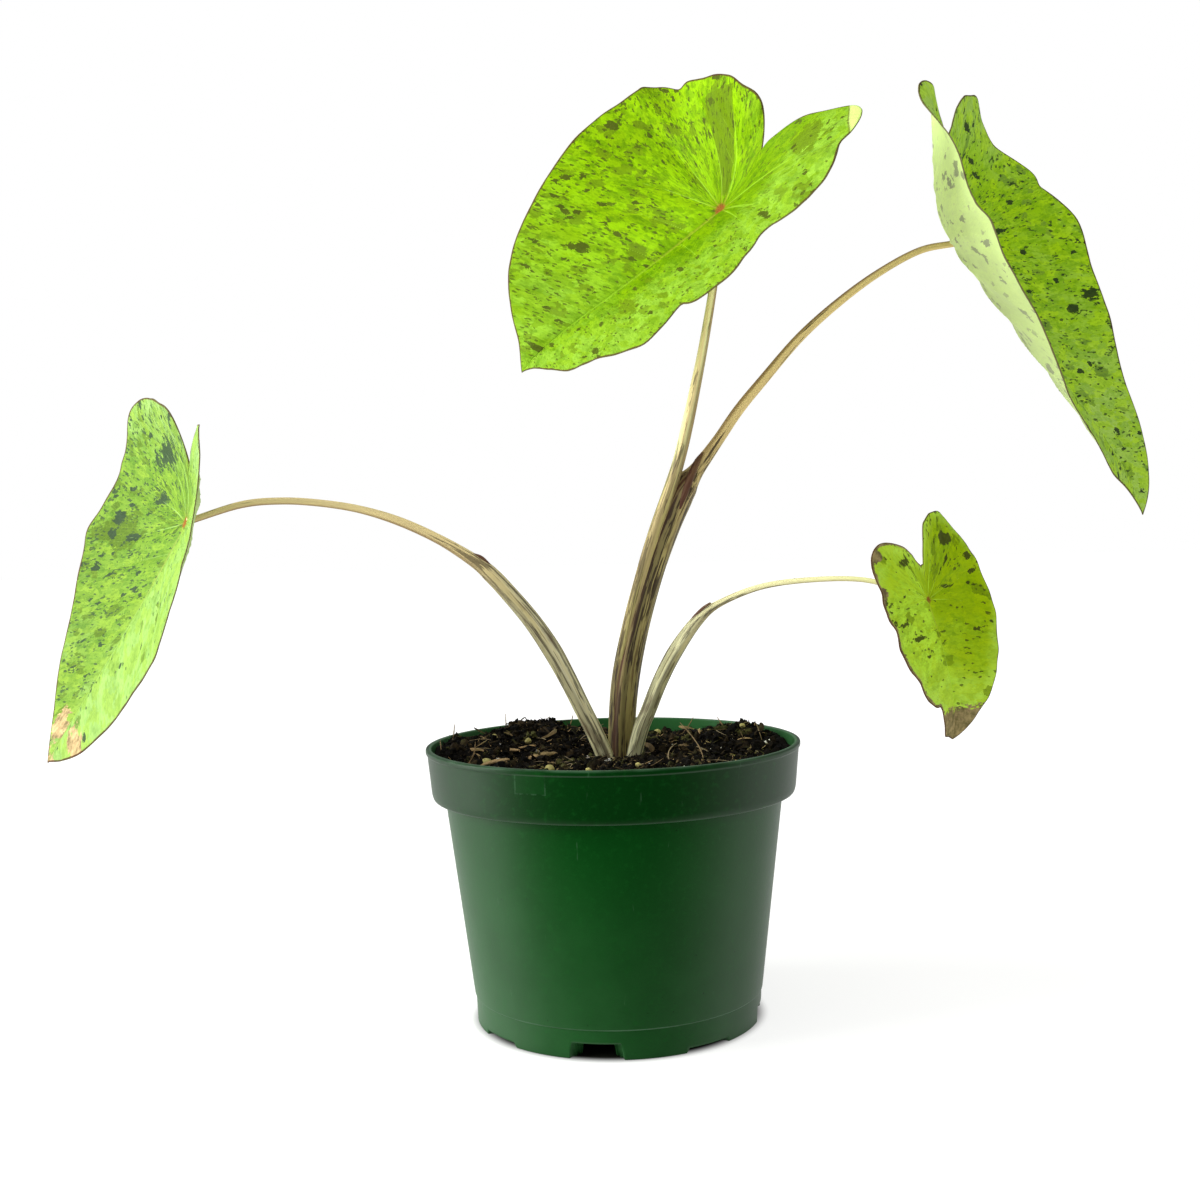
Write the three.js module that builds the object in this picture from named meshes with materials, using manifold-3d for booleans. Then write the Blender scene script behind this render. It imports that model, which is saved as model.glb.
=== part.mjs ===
// Potted mojito elephant ear: four leaves on sheathed stems in a 6-inch nursery pot.
// Units are millimetres and Z is up. The origin is on the floor, on the axis of the pot.

import * as THREE from 'three';
import { mergeVertices } from 'three/addons/utils/BufferGeometryUtils.js';
import Module from 'manifold-3d';

const wasm = await Module();
wasm.setup();

// Driving dimensions

const GAP = 0.3; // clearance between pieces that touch
const BLADE_THICKNESS = 0.7;
const RIB_HEIGHT = 1.2; // how far the midrib stands out under a blade at its joint
const WAVE_HEIGHT = 0.7; // margin waves of a blade
const WAVES = 11; // margin waves round a whole blade
const SOIL_LEVEL = 105.5;

const POT = {
  height: 111.8,
  lipRadius: 76,
  lipHeight: 2.4,
  lipProud: 0.6,
  bandBottom: 91.3,
  bandRadius: 73.9,
  shoulderRadius: 68.6,
  seamHeight: 11.4,
  seamRadius: 58.9,
  seamStep: 0.5,
  footRadius: 58,
  footWidth: 6,
  wall: 1.6,
  lipWidth: 1.9,
  edge: 0.7,
  floorBottom: 6.3,
  floorTop: 8,
  segments: 48,
};

const NOTCH = { count: 8, middle: -98.9, outerWidth: 20, innerWidth: 12, drainFrom: 36, drainWidth: 8 };

const CORM = { middle: [3, 1, 77], radius: 13, height: 30, roots: 7, rootLength: 34, rootRadius: 1.9 };

// The outline of a blade is given as distances from the stem joint, as shares of its length,
// at these angles from the tip, for its left half and its right half.
const OUTLINE_ANGLES = [0, 5, 13, 28, 50, 78, 106, 128, 144, 157, 168, 180];
const BEND_ZONE = 0.16; // share of the length behind the joint in which the lobes bend up
const SIDE_BLEND = 0.15; // share of the length over which the left lobe passes into the right

// Pairs hold a value for the left half and one for the right half, as seen with the tip ahead.
// turn holds the heading of the tip, the lean towards the front and the roll about the midrib.
const BLADES = {
  leaf_a: {
    length: 115,
    joint: [48.7, 0, 325.3],
    turn: [215, 18.8, 46.3],
    ribCurve: 0.08,
    tipCurve: 0.5,
    sweep: -0.13,
    lobeLift: [15, 51],
    fold: [21, 15.5],
    lobeFold: [-9, -15],
    tipFold: [3, 23.5],
    curl: [-0.01, 0.15],
    tipTwist: -9,
    lobeTwist: -12.5,
    left: [1, 0.92, 0.85, 0.77, 0.7, 0.63, 0.63, 0.7, 0.73, 0.67, 0.45, 0.26],
    right: [1, 0.93, 0.88, 0.79, 0.69, 0.65, 0.6, 0.5, 0.47, 0.44, 0.4, 0.26],
    rings: 7,
    steps: 33,
  },
  leaf_b: {
    length: 132.5,
    joint: [147, 15, 312.3],
    turn: [-53.2, 0, -65.3],
    ribCurve: -0.08,
    tipCurve: 0.57,
    sweep: -0.13,
    lobeLift: [49, 38],
    fold: [5, 1],
    lobeFold: [-14, -13],
    tipFold: [10, -1.5],
    curl: [0.91, 0.88],
    tipTwist: 7.5,
    lobeTwist: 10,
    left: [1, 0.95, 0.835, 0.705, 0.65, 0.66, 0.68, 0.6, 0.55, 0.45, 0.36, 0.33],
    right: [1, 0.9, 0.83, 0.72, 0.68, 0.64, 0.64, 0.65, 0.59, 0.49, 0.4, 0.33],
    rings: 7,
    steps: 33,
  },
  leaf_c: {
    length: 106,
    joint: [-166.7, -17, 204.9],
    turn: [239, 3.4, 58.7],
    ribCurve: -0.2,
    tipCurve: 0.15,
    sweep: 0.15,
    lobeLift: [30, 49],
    fold: [3, 1],
    lobeFold: [-5, -8],
    tipFold: [-11, 0.5],
    curl: [0.5, 0.72],
    tipTwist: -9,
    lobeTwist: -4,
    left: [1, 0.95, 0.86, 0.74, 0.66, 0.64, 0.65, 0.64, 0.56, 0.42, 0.3, 0.2],
    right: [1, 0.94, 0.845, 0.72, 0.67, 0.63, 0.66, 0.585, 0.51, 0.46, 0.4, 0.2],
    rings: 7,
    steps: 33,
  },
  leaf_d: {
    length: 59,
    joint: [124.2, -25, 167.4],
    turn: [-70.3, 5.7, -47.7],
    ribCurve: 0.23,
    tipCurve: 0.5,
    sweep: -0.02,
    lobeLift: [14, 15],
    fold: [6, 5.5],
    lobeFold: [-12.5, -27.5],
    tipFold: [20, 10.5],
    curl: [0.09, 0.12],
    tipTwist: 4,
    lobeTwist: 11.5,
    left: [1, 0.96, 0.89, 0.79, 0.66, 0.62, 0.64, 0.66, 0.61, 0.51, 0.36, 0.24],
    right: [1, 0.95, 0.88, 0.73, 0.69, 0.65, 0.62, 0.65, 0.62, 0.47, 0.33, 0.24],
    rings: 6,
    steps: 22,
  },
};

// Stem routes from the corm to the blade, each point with the stem's radius there.
const STEMS = {
  petiole_a: {
    sides: 10,
    route: [
      [1, 3.5, 86, 2.7],
      [2, 5, 110.5, 2.9],
      [3.4, 5, 134.1, 2.7],
      [8.3, 5, 156.6, 2.6],
      [14.8, 5, 179.9, 2.6],
      [20.7, 5, 197.3, 2.6],
      [26.3, 5, 215.6, 2.6],
      [30.4, 4.6, 227.7, 2.4],
      [33.5, 4, 239.7, 2.4],
      [36.4, 3.4, 251.8, 2.2],
      [40.4, 2.6, 269.7, 1.9],
      [44.6, 1.6, 291.6, 1.7],
      [47.4, 0.7, 309.4, 1.6],
      [48.7, 0, 325.3, 1.5],
    ],
  },
  petiole_b: {
    sides: 12,
    route: [
      [3, 2.5, 86, 4],
      [3.4, 5.5, 110.4, 5.4],
      [5.4, 5.5, 134, 5.7],
      [10.1, 5.5, 156.6, 5.5],
      [16.8, 5.5, 179.8, 5.5],
      [23, 5.5, 197.3, 5.9],
      [28.2, 5.5, 209.4, 6.3],
      [32, 5.5, 215.5, 5.6],
      [37.1, 5.9, 221.5, 3.1],
      [46.2, 6.9, 233.5, 2.3],
      [54.9, 7.8, 245.6, 2.2],
      [64.9, 8.8, 257.2, 2.1],
      [81, 10.2, 274.9, 1.9],
      [97.9, 11.6, 289.3, 1.7],
      [114.7, 12.9, 300.9, 1.5],
      [131.5, 14, 309.4, 1.4],
      [147, 15, 312.3, 1.4],
    ],
  },
  petiole_c: {
    sides: 10,
    route: [
      [1, -0.5, 86, 3.4],
      [-2.5, -3, 103.6, 3.5],
      [-6.7, -3.7, 114.8, 3.5],
      [-11.5, -4.4, 125.2, 3.5],
      [-17.2, -5.2, 137.7, 3.6],
      [-23.6, -6, 150.1, 3.9],
      [-31.5, -6.8, 162.5, 3.6],
      [-40.5, -7.7, 174, 3.4],
      [-46.9, -8.3, 181, 3.3],
      [-53.7, -8.8, 187, 2.6],
      [-67, -9.7, 195.6, 1.9],
      [-82.6, -10.8, 203.4, 1.8],
      [-98.2, -11.8, 208.5, 1.5],
      [-113.9, -12.7, 211.5, 1.4],
      [-129.6, -13.7, 212.7, 1.4],
      [-145.3, -14.6, 211.5, 1.4],
      [-166.6, -17, 204.9, 1.35],
    ],
  },
  petiole_d: {
    sides: 8,
    route: [
      [5, -1, 86, 2.8],
      [8.5, -1, 104.7, 3.1],
      [11.6, -2.7, 116.3, 3.1],
      [15, -3.9, 124.5, 3],
      [20.1, -5.8, 136.8, 3],
      [26.6, -7.8, 149, 3],
      [35.6, -9.9, 161.2, 2.3],
      [44.2, -11.5, 167.6, 1.4],
      [60, -14, 173.7, 1.2],
      [78.3, -16.8, 176.1, 1.1],
      [99.1, -19.9, 175.9, 1],
      [115.8, -22.5, 171.4, 1],
      [124.2, -25, 167.4, 1],
    ],
  },
};

// Soft rises and falls of the soil: x, y, height and reach.
const SOIL_MOUNDS = [
  [-35, 52, 8, 22],
  [58, 28, 7, 22],
  [-58, -8, 3, 20],
  [10, -45, 1.5, 25],
  [3, 1, -2.5, 14],
];
const SOIL_BELOW_LIP = 2; // how far the soil's edge stays below the lip at least
const SOIL_LUMPS = { count: 14, nearest: 18, furthest: 66 };

const MATERIALS = {
  pot: { color: 0x1f5330, roughness: 0.5, metalness: 0 },
  soil: { color: 0x2a1f15, roughness: 0.95, metalness: 0 },
  corm: { color: 0x6b4a30, roughness: 0.9, metalness: 0 },
  stem: { color: 0xa8966f, roughness: 0.55, metalness: 0 },
  blade: { color: 0x8cb52a, roughness: 0.5, metalness: 0 },
};

// Seeded random numbers between 0 and 1

function randomFrom(seed) {
  let state = seed;
  return () => {
    state = (state * 1664525 + 1013904223) % 4294967296;
    return state / 4294967296;
  };
}

// Solids

function toSolid(geometry) {
  const bare = geometry.clone();
  bare.deleteAttribute('normal');
  bare.deleteAttribute('uv');
  const merged = mergeVertices(bare, 1e-4);
  const mesh = new wasm.Mesh({
    numProp: 3,
    vertProperties: new Float32Array(merged.attributes.position.array),
    triVerts: new Uint32Array(merged.index.array),
  });
  return new wasm.Manifold(mesh);
}

function toGeometry(solid) {
  const mesh = solid.getMesh();
  const geometry = new THREE.BufferGeometry();
  geometry.setAttribute('position', new THREE.BufferAttribute(new Float32Array(mesh.vertProperties), 3));
  geometry.setIndex(new THREE.BufferAttribute(new Uint32Array(mesh.triVerts), 1));
  return geometry;
}

function largestPiece(solid) {
  const pieces = solid.decompose();
  return pieces.reduce((best, piece) => (piece.volume() > best.volume() ? piece : best));
}

// A closed skin from one pole over a row of rings to the other pole. Each ring has the same
// number of points. From ring turnAt on, the squares are split along their other diagonal.
function skin(firstPole, rings, lastPole, turnAt = Infinity) {
  const count = rings[0].length;
  const points = [firstPole, ...rings.flat(), lastPole];
  const last = points.length - 1;
  const at = (ring, k) => 1 + ring * count + (k % count);
  const faces = [];
  for (let k = 0; k < count; k++) {
    faces.push(0, at(0, k), at(0, k + 1));
    for (let ring = 0; ring + 1 < rings.length; ring++) {
      const [a, b, c, d] = [at(ring, k), at(ring, k + 1), at(ring + 1, k), at(ring + 1, k + 1)];
      if (ring < turnAt) faces.push(a, c, d, a, d, b);
      else faces.push(a, c, b, b, c, d);
    }
    faces.push(at(rings.length - 1, k), last, at(rings.length - 1, k + 1));
  }
  const geometry = new THREE.BufferGeometry();
  const position = new Float32Array(points.flatMap((p) => [p.x, p.y, p.z]));
  geometry.setAttribute('position', new THREE.BufferAttribute(position, 3));
  geometry.setIndex(faces);
  return geometry;
}

// Turned solid about Z from a profile of radius and height pairs
function turned(profile, segments) {
  const points = profile.map(([radius, height]) => new THREE.Vector2(radius, height));
  return new THREE.LatheGeometry(points, segments).rotateX(Math.PI / 2);
}

// Pot: one moulding with a lip, a rim band, a tapered body and a notched foot

function potOutside() {
  const { height, lipRadius, lipHeight, lipProud, bandBottom, bandRadius, shoulderRadius } = POT;
  const { seamHeight, seamRadius, seamStep, footRadius, edge } = POT;
  return [
    [footRadius - edge, 0],
    [footRadius, edge],
    [seamRadius - seamStep, seamHeight],
    [seamRadius, seamHeight + edge / 2],
    [shoulderRadius, bandBottom - edge],
    [shoulderRadius + edge, bandBottom - edge / 4],
    [bandRadius - 3 * edge, bandBottom],
    [bandRadius - edge, bandBottom + edge],
    [bandRadius, bandBottom + 3 * edge],
    [lipRadius - lipProud, height - lipHeight],
    [lipRadius, height - lipHeight + lipProud],
    [lipRadius, height - edge],
    [lipRadius - edge, height],
  ];
}

function potInside() {
  const { height, lipRadius, lipWidth, bandBottom, bandRadius, shoulderRadius } = POT;
  const { seamRadius, wall, edge, floorTop } = POT;
  return [
    [lipRadius - lipWidth, height],
    [lipRadius - lipWidth - edge, height - edge],
    [bandRadius - wall, bandBottom + 2 * wall],
    [shoulderRadius - wall, bandBottom - wall],
    [seamRadius - wall, floorTop + 2 * wall],
    [seamRadius - 2 * wall, floorTop],
  ];
}

function notchCutter() {
  const { footRadius, footWidth, floorBottom, floorTop } = POT;
  const { outerWidth, innerWidth, drainFrom, drainWidth } = NOTCH;
  const inner = footRadius - footWidth - 1;
  const outer = footRadius + 2;
  const mouth = new THREE.Shape([
    new THREE.Vector2(inner, -innerWidth / 2),
    new THREE.Vector2(outer, -outerWidth / 2),
    new THREE.Vector2(outer, outerWidth / 2),
    new THREE.Vector2(inner, innerWidth / 2),
  ]);
  const opening = new THREE.ExtrudeGeometry(mouth, { depth: floorBottom + 1, bevelEnabled: false });
  const drain = new THREE.BoxGeometry(inner - drainFrom, drainWidth, floorTop + 4);
  drain.translate((inner + drainFrom) / 2, 0, floorTop / 2);
  return toSolid(opening.translate(0, 0, -1)).add(toSolid(drain));
}

function makePot() {
  const { footRadius, footWidth, floorBottom, floorTop, segments } = POT;
  const profile = [
    [0, floorBottom],
    [footRadius - footWidth, floorBottom],
    [footRadius - footWidth, 0],
    ...potOutside(),
    ...potInside(),
    [0, floorTop],
  ];
  let pot = toSolid(turned(profile, segments));
  const cutter = notchCutter();
  for (let k = 0; k < NOTCH.count; k++) {
    pot = pot.subtract(cutter.rotate([0, 0, NOTCH.middle + (360 / NOTCH.count) * k]));
  }
  return pot;
}

// Blade: a flat outline round the stem joint, bent, folded and waved

function bladePoint(blade, u, v) {
  const { length } = blade;
  const along = u / length;
  const across = Math.abs(v) / length;
  const side = v < 0 ? 1 : 0;
  const rad = THREE.MathUtils.degToRad;
  const [liftLeft, liftRight] = blade.lobeLift;
  const share = Math.tanh(v / (SIDE_BLEND * length));
  const lift = rad((liftLeft + liftRight) / 2 + ((liftLeft - liftRight) / 2) * share);
  const tipPart = Math.max(along - 0.5, 0);
  let curve = along < 0 ? -lift / BEND_ZONE : blade.ribCurve + blade.tipCurve * tipPart * tipPart;
  if (Math.abs(curve) < 1e-4) curve = 1e-4;
  const bent = Math.max(along, -BEND_ZONE);
  const angle = curve * bent;
  const straight = length * (along - bent);
  const x = (length * Math.sin(angle)) / curve + straight * Math.cos(angle);
  const z = (-length * (1 - Math.cos(angle))) / curve - straight * Math.sin(angle);
  const behind = Math.max(-along / 0.5, 0) ** 1.5;
  const ahead = Math.max(along, 0);
  const fold = rad(blade.fold[side] + blade.lobeFold[side] * behind + blade.tipFold[side] * ahead);
  const curl = blade.curl[side];
  const out = ((length * (Math.sin(fold + curl * across) - Math.sin(fold))) / curl) * Math.sign(v);
  const up = (length * (Math.cos(fold) - Math.cos(fold + curl * across))) / curl;
  const twist = rad(along < 0 ? blade.lobeTwist : blade.tipTwist) * along;
  const y = out * Math.cos(twist) - up * Math.sin(twist) + blade.sweep * u * Math.abs(along);
  const rise = out * Math.sin(twist) + up * Math.cos(twist);
  return new THREE.Vector3(x + rise * Math.sin(angle), y, z + rise * Math.cos(angle));
}

function bladeNormal(blade, u, v) {
  const step = 0.05;
  const du = bladePoint(blade, u + step, v).sub(bladePoint(blade, u - step, v));
  const dv = bladePoint(blade, u, v + step).sub(bladePoint(blade, u, v - step));
  return du.cross(dv).normalize();
}

function bladeOutline(blade) {
  const half = (shares, sign) => {
    const points = shares.map((share, k) => {
      const angle = THREE.MathUtils.degToRad(OUTLINE_ANGLES[k]);
      const radius = blade.length * share;
      return new THREE.Vector2(radius * Math.cos(angle), sign * radius * Math.sin(angle));
    });
    return new THREE.SplineCurve(points).getPoints(blade.steps);
  };
  const left = half(blade.left, 1);
  const right = half(blade.right, -1);
  return [...left, ...right.slice(1, -1).reverse()];
}

function bladePlace(blade) {
  const [heading, lean, roll] = blade.turn.map(THREE.MathUtils.degToRad);
  const upright = new THREE.Matrix4().makeBasis(
    new THREE.Vector3(1, 0, 0),
    new THREE.Vector3(0, 0, 1),
    new THREE.Vector3(0, -1, 0),
  );
  return new THREE.Matrix4()
    .makeTranslation(...blade.joint)
    .multiply(upright)
    .multiply(new THREE.Matrix4().makeRotationZ(heading))
    .multiply(new THREE.Matrix4().makeRotationY(lean))
    .multiply(new THREE.Matrix4().makeRotationX(roll));
}

// A blade as a closed skin; extra grows it on both faces for cutting clearances.
function bladeGeometry(blade, extra = 0) {
  const outline = bladeOutline(blade);
  const place = bladePlace(blade);
  const half = BLADE_THICKNESS / 2 + extra;
  const facePoint = (u, v, reach, turn, face) => {
    const wave = WAVE_HEIGHT * reach ** 4 * Math.sin(WAVES * turn);
    const rib = face < 0 ? RIB_HEIGHT * Math.max(1 - Math.hypot(u, v) / blade.length, 0) : 0;
    const onRib = v === 0 && u >= 0 ? rib : 0;
    const normal = bladeNormal(blade, u, v);
    return bladePoint(blade, u, v).addScaledVector(normal, wave + face * (half + onRib)).applyMatrix4(place);
  };
  const ring = (reach, face) =>
    outline.map(({ x, y }) => {
      const v = Math.abs(y) < 1e-9 ? 0 : y * reach;
      return facePoint(x * reach, v, reach, Math.atan2(y, x), face);
    });
  const reaches = Array.from({ length: blade.rings }, (_, k) => (k + 1) / blade.rings);
  const top = reaches.map((reach) => ring(reach, 1));
  const bottom = [...reaches].reverse().map((reach) => ring(reach, -1));
  return skin(facePoint(0, 0, 0, 0, 1), [...top, ...bottom], facePoint(0, 0, 0, 0, -1), blade.rings);
}

// Stem: a tapered tube along its route

function stemGeometry(stem, extra = 0) {
  const points = stem.route.map(([x, y, z]) => new THREE.Vector3(x, y, z));
  const radii = stem.route.map((row) => row[3] + extra);
  const curve = new THREE.CatmullRomCurve3(points, false, 'catmullrom', 0.5);
  const stations = (points.length - 1) * 2;
  const rings = [];
  let across = new THREE.Vector3(1, 0, 0);
  for (let k = 0; k <= stations; k++) {
    const t = k / stations;
    const place = t * (points.length - 1);
    const low = Math.min(Math.floor(place), points.length - 2);
    const radius = THREE.MathUtils.lerp(radii[low], radii[low + 1], place - low);
    const middle = curve.getPoint(t);
    const tangent = curve.getTangent(t);
    across = across.clone().addScaledVector(tangent, -across.dot(tangent)).normalize();
    const beside = tangent.clone().cross(across);
    const ring = [];
    for (let side = 0; side < stem.sides; side++) {
      const angle = (2 * Math.PI * side) / stem.sides;
      const point = middle.clone().addScaledVector(across, radius * Math.cos(angle));
      ring.push(point.addScaledVector(beside, radius * Math.sin(angle)));
    }
    rings.push(ring);
  }
  rings.reverse();
  return skin(curve.getPoint(1), rings, curve.getPoint(0));
}

// Corm: the swollen rootstock under the soil, with its main roots

function makeCorm(extra = 0) {
  const { middle, radius, height, roots, rootLength, rootRadius } = CORM;
  const body = new THREE.SphereGeometry(1, 12, 7);
  body.scale(radius + extra, radius + extra, height / 2 + extra);
  body.rotateX(Math.PI / 2).translate(...middle);
  let corm = toSolid(body);
  for (let k = 0; k < roots; k++) {
    const angle = (2 * Math.PI * k) / roots;
    const spread = 1 + 0.25 * Math.sin(3 * k);
    const reach = rootLength * spread;
    const row = (share, drop, size) => [
      middle[0] + Math.cos(angle + 0.4 * share) * (radius * 0.3 + reach * share),
      middle[1] + Math.sin(angle + 0.4 * share) * (radius * 0.3 + reach * share),
      middle[2] - 6 - drop,
      size,
    ];
    const route = [row(0, 0, rootRadius), row(0.35, 5, rootRadius), row(0.7, 18, rootRadius * 0.8)];
    route.push(row(1, 38 * spread, rootRadius * 0.45));
    corm = corm.add(toSolid(stemGeometry({ sides: 5, route }, extra)));
  }
  return corm;
}

// Soil: one fill that follows the inside of the pot, with a rough, mounded top

function soilHeight(x, y) {
  const mounds = SOIL_MOUNDS.reduce((sum, [mx, my, rise, reach]) => {
    return sum + rise * Math.exp(-((x - mx) ** 2 + (y - my) ** 2) / reach ** 2);
  }, 0);
  const broad = Math.sin(0.31 * x + 0.12 * y) * Math.sin(0.27 * y - 0.1 * x);
  const fine = Math.sin(0.55 * x - 0.4 * y);
  return SOIL_LEVEL + mounds + 0.7 * broad + 0.42 * fine;
}

function soilLump(random) {
  const angle = 2 * Math.PI * random();
  const distance = THREE.MathUtils.lerp(SOIL_LUMPS.nearest, SOIL_LUMPS.furthest, Math.sqrt(random()));
  const [x, y] = [distance * Math.cos(angle), distance * Math.sin(angle)];
  const lump = new THREE.IcosahedronGeometry(1, 0);
  lump.scale(2 + 3 * random(), 1.5 + 1.5 * random(), 1.2 + random());
  lump.rotateX(0.6 * random() - 0.3).rotateZ(Math.PI * random());
  return lump.translate(x, y, soilHeight(x, y) + GAP);
}

function makeSoil() {
  const count = POT.segments;
  const [, [rimRadius, rimHeight], [bandRadius, bandHeight]] = potInside();
  const wallAt = (height) => {
    const share = (height - bandHeight) / (rimHeight - bandHeight);
    return THREE.MathUtils.lerp(bandRadius, rimRadius, share) - GAP;
  };
  const ring = (point) => {
    return Array.from({ length: count }, (_, k) => point((2 * Math.PI * k) / count));
  };
  const level = (radius, height) => {
    return ring((angle) => new THREE.Vector3(radius * Math.cos(angle), radius * Math.sin(angle), height));
  };
  const topRing = (share) => {
    return ring((angle) => {
      const [c, s] = [Math.cos(angle), Math.sin(angle)];
      const highest = POT.height - SOIL_BELOW_LIP;
      const edge = wallAt(Math.min(soilHeight(bandRadius * c, bandRadius * s), highest));
      const height = soilHeight(edge * share * c, edge * share * s);
      const capped = share === 1 ? Math.min(height, highest) : height;
      return new THREE.Vector3(edge * share * c, edge * share * s, capped);
    });
  };
  const shares = [0.16, 0.33, 0.5, 0.66, 0.82, 1];
  const foot = potInside().slice(2);
  const rings = [
    ...shares.map(topRing),
    ...foot.map(([radius, height], k) => level(radius - GAP * 1.5, height + (k === 3 ? GAP : 0))),
  ];
  const middle = new THREE.Vector3(0, 0, soilHeight(0, 0));
  let soil = toSolid(skin(middle, rings, new THREE.Vector3(0, 0, POT.floorTop + GAP)));
  const random = randomFrom(7);
  for (let k = 0; k < SOIL_LUMPS.count; k++) {
    soil = soil.add(toSolid(soilLump(random)));
  }
  return soil;
}

// Assembly: what is cut by a neighbour keeps the gap to it

const group = new THREE.Group();

function addMesh(name, geometry, look) {
  const flat = geometry.index ? geometry : mergeVertices(geometry);
  flat.computeVertexNormals();
  const mesh = new THREE.Mesh(flat, new THREE.MeshStandardMaterial(look));
  mesh.name = name;
  group.add(mesh);
}

addMesh('pot', toGeometry(makePot()), MATERIALS.pot);
addMesh('corm', toGeometry(makeCorm()), MATERIALS.corm);

let cutter = makeCorm(GAP);
let soil = makeSoil().subtract(cutter);
const bladeOf = { petiole_a: 'leaf_a', petiole_b: 'leaf_b', petiole_c: 'leaf_c', petiole_d: 'leaf_d' };
for (const [name, stem] of Object.entries(STEMS)) {
  const grown = toSolid(stemGeometry(stem, GAP));
  const blade = BLADES[bladeOf[name]];
  const bladeSpace = toSolid(bladeGeometry(blade, GAP));
  const body = toSolid(stemGeometry(stem)).subtract(cutter).subtract(bladeSpace);
  addMesh(name, toGeometry(largestPiece(body)), MATERIALS.stem);
  cutter = cutter.add(grown);
  soil = soil.subtract(grown);
}
addMesh('soil', toGeometry(largestPiece(soil)), MATERIALS.soil);

for (const [name, blade] of Object.entries(BLADES)) {
  addMesh(name, bladeGeometry(blade), MATERIALS.blade);
}

export default group;
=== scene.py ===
import math

import bpy
import numpy as np
from mathutils import Matrix


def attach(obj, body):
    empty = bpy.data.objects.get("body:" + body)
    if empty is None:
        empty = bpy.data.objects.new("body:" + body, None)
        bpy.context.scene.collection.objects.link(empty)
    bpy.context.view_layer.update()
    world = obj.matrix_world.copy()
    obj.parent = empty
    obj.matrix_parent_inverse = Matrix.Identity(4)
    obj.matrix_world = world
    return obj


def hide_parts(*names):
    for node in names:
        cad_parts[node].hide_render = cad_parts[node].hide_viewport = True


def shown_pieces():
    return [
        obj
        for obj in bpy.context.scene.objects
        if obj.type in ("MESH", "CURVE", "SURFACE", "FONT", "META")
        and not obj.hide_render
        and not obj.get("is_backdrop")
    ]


bl_info = {
    "name": "Potted Elephant Ear",
    "version": (1, 0, 0),
    "blender": (4, 5, 0),
    "location": "View3D > Sidebar > Elephant Ear",
    "description": "Finer leaves, stems, pot and soil for a potted elephant ear",
    "category": "Add Mesh",
}

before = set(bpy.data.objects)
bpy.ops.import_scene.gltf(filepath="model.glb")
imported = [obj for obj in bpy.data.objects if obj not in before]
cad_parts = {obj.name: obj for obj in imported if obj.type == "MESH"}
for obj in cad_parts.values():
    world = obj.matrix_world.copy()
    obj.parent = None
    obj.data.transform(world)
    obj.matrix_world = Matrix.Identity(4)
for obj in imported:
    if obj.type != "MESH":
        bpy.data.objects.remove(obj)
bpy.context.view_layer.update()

MM = 0.001

# Sizes of the blades

OUTLINE_ANGLES = (0, 5, 13, 28, 50, 78, 106, 128, 144, 157, 168, 180)  # round the joint, from the tip
BEND_FROM, BEND_TO = 0.1, -0.28  # shares of the length between which the lobes bend up
BEND_STEPS = 16
SIDE_BLEND = 0.15  # share of the length over which the left lobe passes into the right
WAVES = 11  # along the margin
STANDARD_LENGTH = 115  # of a blade whose veins and margin have their usual width
VEIN_STARTS = (0.16, 0.32, 0.48, 0.63, 0.77)  # shares of the midrib where the side veins leave it
VEIN_SINK = 0.16 * MM  # depth of the veins above
VEIN_RIDGE = 0.55 * MM  # height of the veins beneath
MIDRIB_RIDGE = 1.1 * MM
SMALL_BLADE = 80  # a shorter blade has fewer rings
QUILTED_LENGTH = 110  # a shorter blade bulges less between its veins

# Lengths are in millimetres, angles in degrees, and the other sizes are shares of the length.
# Pairs are for the left and the right half, as seen from above with the tip ahead. A place on
# the flat blade is its distance from the joint towards the tip, and then towards the left.
# look: one of LEAF_LOOKS
# joint, turn: where the stem ends, and the blade's heading, lean and roll
# rib_curve, tip_curve, sweep: the midrib's bend, its tightening past the middle, and its pull sideways
# lobe_lift: how far each lobe bends up behind the joint
# fold, lobe_fold, tip_fold: how steeply each half rises, and how that changes at the lobes and tip
# curl: how far each half bends across the midrib
# tip_twist, lobe_twist: how the section turns along the midrib
# wave: height of the margin's waves as a share of the setting
# left, right: the margin's distance from the joint at each of OUTLINE_ANGLES
# dents: for each half, an angle, a reach in degrees and a change of the margin in hundredths
# curled: rolled corners, each with a place, the way outwards, a radius and 1 for up or -1 for down
# vein_slope: how far the side veins run ahead for each step outwards
# paleness: bloom all over, more of it at the left, and more towards the tip
# frost, partly painted sheen: a paler bloom at the tip, on the lobes, on the left half and along the
# margin
# flecks: how many there are all over, and more at the left, at the margin and at the tip
# patches, stains, dead: places of dark, olive and dried spots, with half lengths and half widths
# wedge: two angles on the right half with an olive stain between them
# dead_tip, scorch: from where the tip is dried, and the width of the dried line at the right
# tongue: on the left lobe, the way towards a tip that is rolled over, and how far off it starts
PLAIN_BLADE = {"curled": (), "wedge": None, "dead": (), "dead_tip": 2, "scorch": 0, "tongue": None}
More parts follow.
